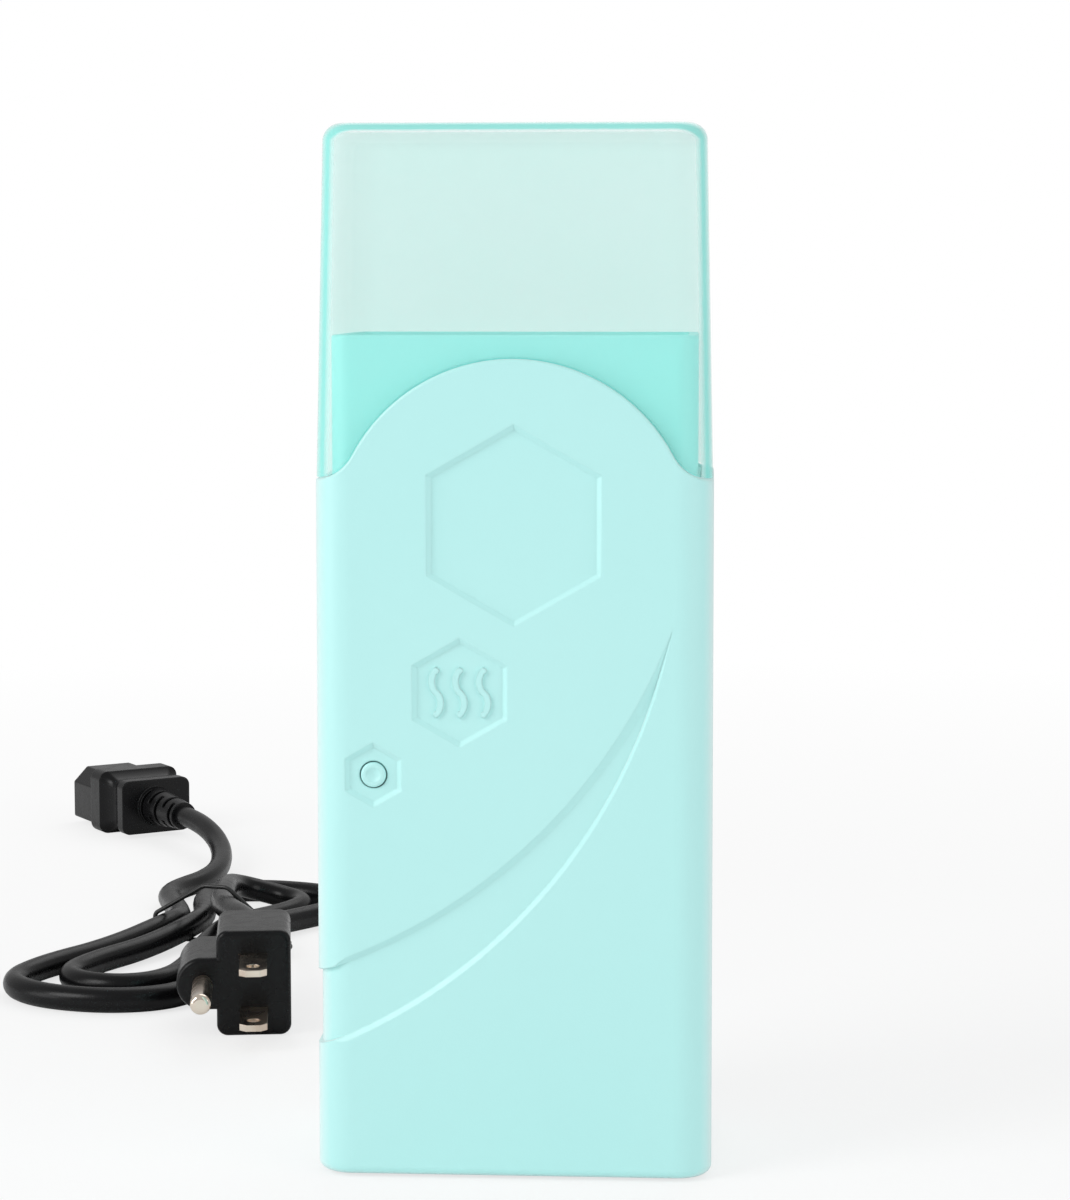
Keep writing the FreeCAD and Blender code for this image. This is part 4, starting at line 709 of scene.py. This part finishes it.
@dataclass
class MainsLead:
    """The loose lead: connector, tied hank and plug, laid on the table beside the warmer (millimetres)."""

    diameter: float = 6.2
    place: Plan = (-95.0, 182.0)
    turn: float = 7.0
    tilt: float = 22.0
    tie_lift: float = 1.7
    tie_lift_reach: float = 13.0
    last_share: float = 0.85
    shift_start: float = 0.5
    climb_start: float = 0.4
    points_per_lobe: int = 9
    points_at_entry: int = 3
    tangent_step: float = 1e-4
    connector_tip: Point = (-14.0, 139.0, 10.0)
    connector_heading: Plan = (-0.462, 0.887)
    plug_tip: Point = (14.0, -52.0, 12.5)
    plug_heading: Plan = (0.02, -1.0)
    end_run: float = 15.0
    join_run: float = 16.0
    lead_route: Tuple[Point, ...] = ((0.0, 105.0, 5.5), (-1.0, 76.0, 3.1))
    tail_route: Tuple[Point, ...] = ((8.0, -19.5, 12.4),)
    length: float = 801.0
    entry: Lobe = Lobe(1, 11.7, 11.7, 62.0, 57.0, start=-0.45, end=0.0)
    lobes: Tuple[Lobe, ...] = (
        Lobe(1, 11.7, 11.7, 45.5, 80.0),
        Lobe(-1, 11.7, 4.5, 41.0, 57.0),
        Lobe(1, 4.5, 4.5, 29.3, 65.0),
        Lobe(-1, 4.5, 0.0, 21.7, 47.0, rise=6.9, end=last_share * math.pi),
    )
    tie_radius: float = 0.6
    tie_outline: Tuple[Plan, ...] = (
        (-15.8, 0.75), (15.8, 0.75), (15.8, 7.2), (5.5, 15.6), (-1.5, 15.6), (-15.8, 7.2))
    tie_corner: float = 2.2
    tie_end: Tuple[Point, ...] = (
        (15.8, 0.0, 5.0), (21.5, -1.0, 4.2), (25.5, -5.5, 2.4), (27.0, -12.0, 1.9))
    twist_radius: float = 0.62
    twist_turns: float = 5.0
    twist_points: int = 40
    twist_swing: Point = (0.4, 0.9, 1.0)

    def on_table(self, points: np.ndarray) -> np.ndarray:
        """Turn points of the lead's plan and set them on the table.

        Args:
            points: rows of right, away and up, in millimetres.

        Returns:
            Rows in the part's frame, in metres.
        """
        angle = math.radians(self.turn)
        cos, sin = math.cos(angle), math.sin(angle)
        rotation = np.array([[cos, sin, 0.0], [-sin, cos, 0.0], [0.0, 0.0, 1.0]])
        return (np.asarray(points, float) @ rotation + np.array([*self.place, 0.0])) * MM

    def across_waist(self, points: np.ndarray) -> np.ndarray:
        """Turn points given across and along the hank into the lead's plan.

        Args:
            points: rows of across, along and up.

        Returns:
            Rows of right, away and up.
        """
        angle = math.radians(self.tilt)
        cos, sin = math.cos(angle), math.sin(angle)
        rotation = np.array([[cos, -sin, 0.0], [sin, cos, 0.0], [0.0, 0.0, 1.0]])
        return np.asarray(points, float) @ rotation

    @staticmethod
    def ease(values: np.ndarray) -> np.ndarray:
        """Smooth step from 0 to 1.

        Args:
            values: any values, clipped to 0 to 1.

        Returns:
            The eased values.
        """
        clipped = np.clip(values, 0.0, 1.0)
        return clipped * clipped * (3.0 - 2.0 * clipped)

    def lobe_points(self, lobe: Lobe, turns: np.ndarray) -> np.ndarray:
        """Points of one lobe: across = (waist + spread sin2) cos, along = reach sin, lifted at the tie.

        Args:
            lobe: the lobe.
            turns: angles along the lobe.

        Returns:
            Rows of right, away and up.
        """
        share = turns / math.pi
        shift = self.ease((share - self.shift_start) / (1 - self.shift_start))
        waist = lobe.waist_in + (lobe.waist_out - lobe.waist_in) * shift
        across = -lobe.side * (waist + lobe.spread * np.sin(turns) ** 2) * np.cos(turns)
        along = -lobe.side * lobe.reach * np.sin(turns)
        climb = self.ease((share - self.climb_start) / (self.last_share - self.climb_start))
        lift = self.tie_lift * np.exp(-(along / self.tie_lift_reach) ** 2)
        height = self.diameter / 2 + lift + lobe.rise * climb
        return self.across_waist(np.stack([across, along, height], axis=1))

    def hank_points(self) -> np.ndarray:
        """Points of the whole hank, from its entry to its last climb.

        Returns:
            Rows of right, away and up.
        """
        turns = np.linspace(self.entry.start, self.entry.end, self.points_at_entry + 1)
        rows = [self.lobe_points(self.entry, turns[:-1])]
        for lobe in self.lobes:
            turns = np.linspace(lobe.start, lobe.end, self.points_per_lobe + 1)
            rows.append(self.lobe_points(lobe, turns if lobe is self.lobes[-1] else turns[:-1]))
        return np.concatenate(rows)

    def heading(self, lobe: Lobe, turns: Sequence[float]) -> np.ndarray:
        """Direction of the cord between two close angles of a lobe.

        Args:
            lobe: the lobe.
            turns: the two angles.

        Returns:
            The unit direction.
        """
        near, far = self.lobe_points(lobe, np.array(turns))
        return (far - near) / np.linalg.norm(far - near)

    def route(self) -> np.ndarray:
        """Control points of the cord from the connector to the plug, in the lead's plan.

        Returns:
            Rows of right, away and up.
        """
        hank = self.hank_points()
        last = self.lobes[-1]
        way_in = self.heading(self.entry, (self.entry.start, self.entry.start + self.tangent_step))
        way_out = self.heading(last, (last.end - self.tangent_step, last.end))
        hank_start = hank[0] - way_in * self.diameter
        before = hank_start - way_in * self.join_run
        before[2] = self.diameter / 2
        hank_end = hank[-1] + way_out * self.diameter
        after = hank_end + way_out * self.join_run
        start = np.array(self.connector_tip)
        end = np.array(self.plug_tip)
        out = np.array([*self.connector_heading, 0.0])
        home = np.array([*self.plug_heading, 0.0])
        from_connector = start - out / np.linalg.norm(out) * self.end_run
        to_plug = end - home / np.linalg.norm(home) * self.end_run
        lead = [start, from_connector, *self.lead_route, before]
        tail = [after, *self.tail_route, to_plug, end]
        return np.array([*lead, hank_start, *hank, hank_end, *tail])

    def build(self, palette: Palette, frame: dict) -> None:
        """Args:
            palette: materials.
            frame: not used.
        """
        route = self.on_table(self.route())
        cord = soft_curve("mains_cord", [route], self.diameter / 2 * MM)
        palette.dress(cord, "cord_pvc")
        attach(cord, CASE_BODY)
        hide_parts("cord_lead", "cord_hank", "cord_tail")
        tie = self.build_tie(palette)
        LOG.info("cord with %d control points", len(route))

    def build_tie(self, palette: Palette) -> bpy.types.Object:
        """Wire tie round the waist: a ring with eased corners and two strands twisted together.

        Args:
            palette: materials.

        Returns:
            The tie.
        """
        corners = np.array(self.tie_outline)
        before = np.roll(corners, 1, axis=0) - corners
        after = np.roll(corners, -1, axis=0) - corners
        ease_in = corners + before / np.linalg.norm(before, axis=1, keepdims=True) * self.tie_corner
        ease_out = corners + after / np.linalg.norm(after, axis=1, keepdims=True) * self.tie_corner
        ring = np.stack([ease_in, corners, ease_out], axis=1).reshape(-1, 2)
        ring = np.stack([ring[:, 0], np.zeros(len(ring)), ring[:, 1]], axis=1)
        strands = [ring]
        centre = np.array(self.tie_end)
        steps = np.linspace(0.0, len(centre) - 1.0, self.twist_points)
        corners_at = np.arange(len(centre))
        middle = np.stack([np.interp(steps, corners_at, column) for column in centre.T], axis=1)
        for phase in (0.0, math.pi):
            angle = steps / steps[-1] * self.twist_turns * 2 * math.pi + phase
            swing = np.stack([np.cos(angle), np.cos(angle), np.sin(angle)], axis=1) * self.twist_swing
            strands.append(middle + swing * self.twist_radius)
        splines = [self.on_table(self.across_waist(rows)) for rows in strands]
        tie = soft_curve("wire_tie", splines, self.tie_radius * MM, closed=True, bevel=THIN_BEVEL)
        palette.dress(tie, "tie_plastic")
        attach(tie, CASE_BODY)
        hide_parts("cord_tie")
        return tie


@dataclass
class InnerWiring:
    """Insulated wires inside the case, as routes in millimetres."""

    diameter: float = 1.8
    live: Tuple[Point, ...] = (
        (-7.0, -3.149, 16.0), (-7.0, -14.0, 16.0), (-20.0, -18.5, 21.5),
        (-30.0, -18.5, 33.5), (-31.0, -17.9, 49.5), (-31.0, -17.88, 65.4))
    neutral: Tuple[Point, ...] = (
        (7.0, -3.149, 16.0), (7.0, -14.0, 16.0), (17.0, -19.0, 19.5), (29.0, -12.0, 25.0),
        (30.0, 4.0, 33.0), (19.0, 19.0, 40.0), (8.5, 19.0, 44.0), (8.5, 18.95, 54.5))
    earth: Tuple[Point, ...] = (
        (0.0, -3.149, 20.0), (0.0, -17.0, 20.0), (0.0, -17.0, 40.0), (0.0, -3.4, 40.0))
    heater: Tuple[Point, ...] = (
        (-25.0, -17.88, 65.4), (-25.0, -17.9, 54.0), (-32.75, -9.0, 46.0), (-32.75, 6.0, 41.5),
        (-23.0, 19.0, 40.0), (-6.0, 19.0, 43.0), (-6.0, 18.95, 55.0))
    links: Tuple[Tuple[Point, ...], ...] = (
        ((-6.0, 18.45, 73.0), (-6.0, 18.45, 77.5), (-6.0, 18.45, 82.0)),
        ((8.5, 18.45, 73.5), (8.5, 18.45, 78.0), (8.5, 18.45, 82.0)))

    def build(self, palette: Palette) -> None:
        """Make each wire as a smooth tube in place of its solid.

        Args:
            palette: materials.
        """
        wires = [
            ("wire_live", "live_wire", "live_insulation", (self.live,)),
            ("wire_neutral", "neutral_wire", "neutral_insulation", (self.neutral,)),
            ("wire_earth", "earth_wire", "earth_insulation", (self.earth,)),
            ("wire_heater", "heater_lead", "heater_insulation", (self.heater,)),
            ("wire_links", "heater_links", "heater_insulation", self.links),
        ]
        for name, node, slot, routes in wires:
            splines = [np.array(route) * MM for route in routes]
            wire = soft_curve(name, splines, self.diameter / 2 * MM, bevel=THIN_BEVEL)
            palette.dress(wire, slot)
            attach(wire, CASE_BODY)
            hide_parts(node)
            LOG.info("wire %s in place of %s", name, node)


@dataclass(frozen=True)
class Lamp:
    """A round area lamp: size in metres, power in watts."""

    name: str
    place: Point
    size: float
    power: float


@dataclass
class Studio:
    """Plain pale floor, soft lamps and the camera."""

    camera_place: Point = (0.0376, -0.5957, 0.1748)
    camera_turn: float = 3.334
    camera_pitch: float = 6.0
    focal_pixels: float = 2983.7
    frame_height: float = 1200.0
    sensor: float = 36.0
    clip: Span = (0.01, 50.0)
    floor_half: float = 4.0
    floor_colour: Colour = (0.93, 0.93, 0.93)
    floor_fade: Span = (0.3, 0.8)
    floor_glow: Span = (0.72, 1.0)
    world_light: float = 0.5
    lamps: Tuple[Lamp, ...] = (
        Lamp("key", (-1.1, -0.75, 0.95), 0.8, 9.5),
        Lamp("side", (-1.2, -0.4, 0.2), 0.7, 3.0),
        Lamp("fill", (1.1, -0.7, 0.45), 1.1, 5.2),
        Lamp("back", (0.1, 0.9, 1.0), 1.0, 3.0),
    )
    aim: Point = (0.0, 0.0, 0.1)

    def build(self) -> None:
        """Set up floor, light and camera."""
        self.build_floor()
        self.build_world()
        self.build_lamps()
        self.build_camera()
        bpy.context.scene.view_settings.view_transform = "Standard"

    def build_floor(self) -> None:
        """Large pale floor: shadows near the object, plain white further away."""
        half = self.floor_half
        mesh = bpy.data.meshes.new("floor")
        corners = [(-half, -half, 0), (half, -half, 0), (half, half, 0), (-half, half, 0)]
        mesh.from_pydata(corners, [], [(0, 1, 2, 3)])
        floor = bpy.data.objects.new("floor", mesh)
        bpy.context.scene.collection.objects.link(floor)
        material, graph = new_material("floor_white")
        distance = graph.vector("LENGTH", graph.node("TexCoord").outputs["Object"])
        far = graph.ramp(distance.outputs["Value"], self.floor_fade, self.floor_glow)
        share = graph.math("MULTIPLY", self.seen(graph), far)
        matt = graph.node("BsdfDiffuse", Color=opaque(self.floor_colour))
        glow = graph.node("Emission", Color=WHITE, Strength=1.0)
        mixed = graph.node("MixShader")
        graph.feed(mixed.inputs[0], share)
        graph.feed(mixed.inputs[1], matt.outputs[0])
        graph.feed(mixed.inputs[2], glow.outputs[0])
        graph.show(mixed)
        mesh.materials.append(material)

    @staticmethod
    def seen(graph: Graph) -> bpy.types.NodeSocket:
        """Share of rays that show the background: camera and transmission rays.

        Args:
            graph: graph of the floor or the world.

        Returns:
            1 for such a ray, otherwise 0.
        """
        path = graph.node("LightPath")
        return graph.math("MAXIMUM", path.outputs["Is Camera Ray"], path.outputs["Is Transmission Ray"])

    def build_world(self) -> None:
        """White background with an even, dimmer light on the object."""
        world = bpy.data.worlds.new("studio")
        world.use_nodes = True
        graph = Graph(world.node_tree)
        shown = graph.ramp(self.seen(graph), to=(self.world_light, 1.0))
        graph.show(graph.node("Background", Color=WHITE, Strength=shown), "OutputWorld")
        bpy.context.scene.world = world

    def build_lamps(self) -> None:
        """Large soft lamps aimed at the warmer."""
        for lamp in self.lamps:
            data = bpy.data.lights.new(lamp.name, "AREA")
            data.shape = "DISK"
            data.size = lamp.size
            data.energy = lamp.power
            made = bpy.data.objects.new(lamp.name, data)
            made.location = lamp.place
            towards = Vector(self.aim) - Vector(lamp.place)
            made.rotation_euler = towards.to_track_quat("-Z", "Y").to_euler()
            bpy.context.scene.collection.objects.link(made)

    def build_camera(self) -> None:
        """Camera fitted to the photograph's viewing angle."""
        data = bpy.data.cameras.new("camera")
        data.sensor_width = self.sensor
        data.lens = self.focal_pixels * self.sensor / self.frame_height
        data.clip_start, data.clip_end = self.clip
        turn = math.radians(self.camera_turn)
        pitch = math.radians(self.camera_pitch)
        level = math.cos(pitch)
        forward = Vector((-math.sin(turn) * level, math.cos(turn) * level, -math.sin(pitch)))
        rotation = forward.to_track_quat("-Z", "Y").to_matrix().to_4x4()
        camera = bpy.data.objects.new("camera", data)
        camera.matrix_world = Matrix.Translation(self.camera_place) @ rotation
        bpy.context.scene.collection.objects.link(camera)
        bpy.context.scene.camera = camera


def main() -> None:
    """Load the frame, dress it and add the lead, the wires and the studio."""
    logging.basicConfig(level=logging.INFO, format="%(name)s: %(message)s")
    for item in list(bpy.data.objects):
        bpy.data.objects.remove(item)
    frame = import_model()
    palette = Palette()
    palette.dress_nodes(frame)
    Studio().build()
    MainsLead().build(palette, frame)
    InnerWiring().build(palette)


if __name__ == "__main__":
    main()
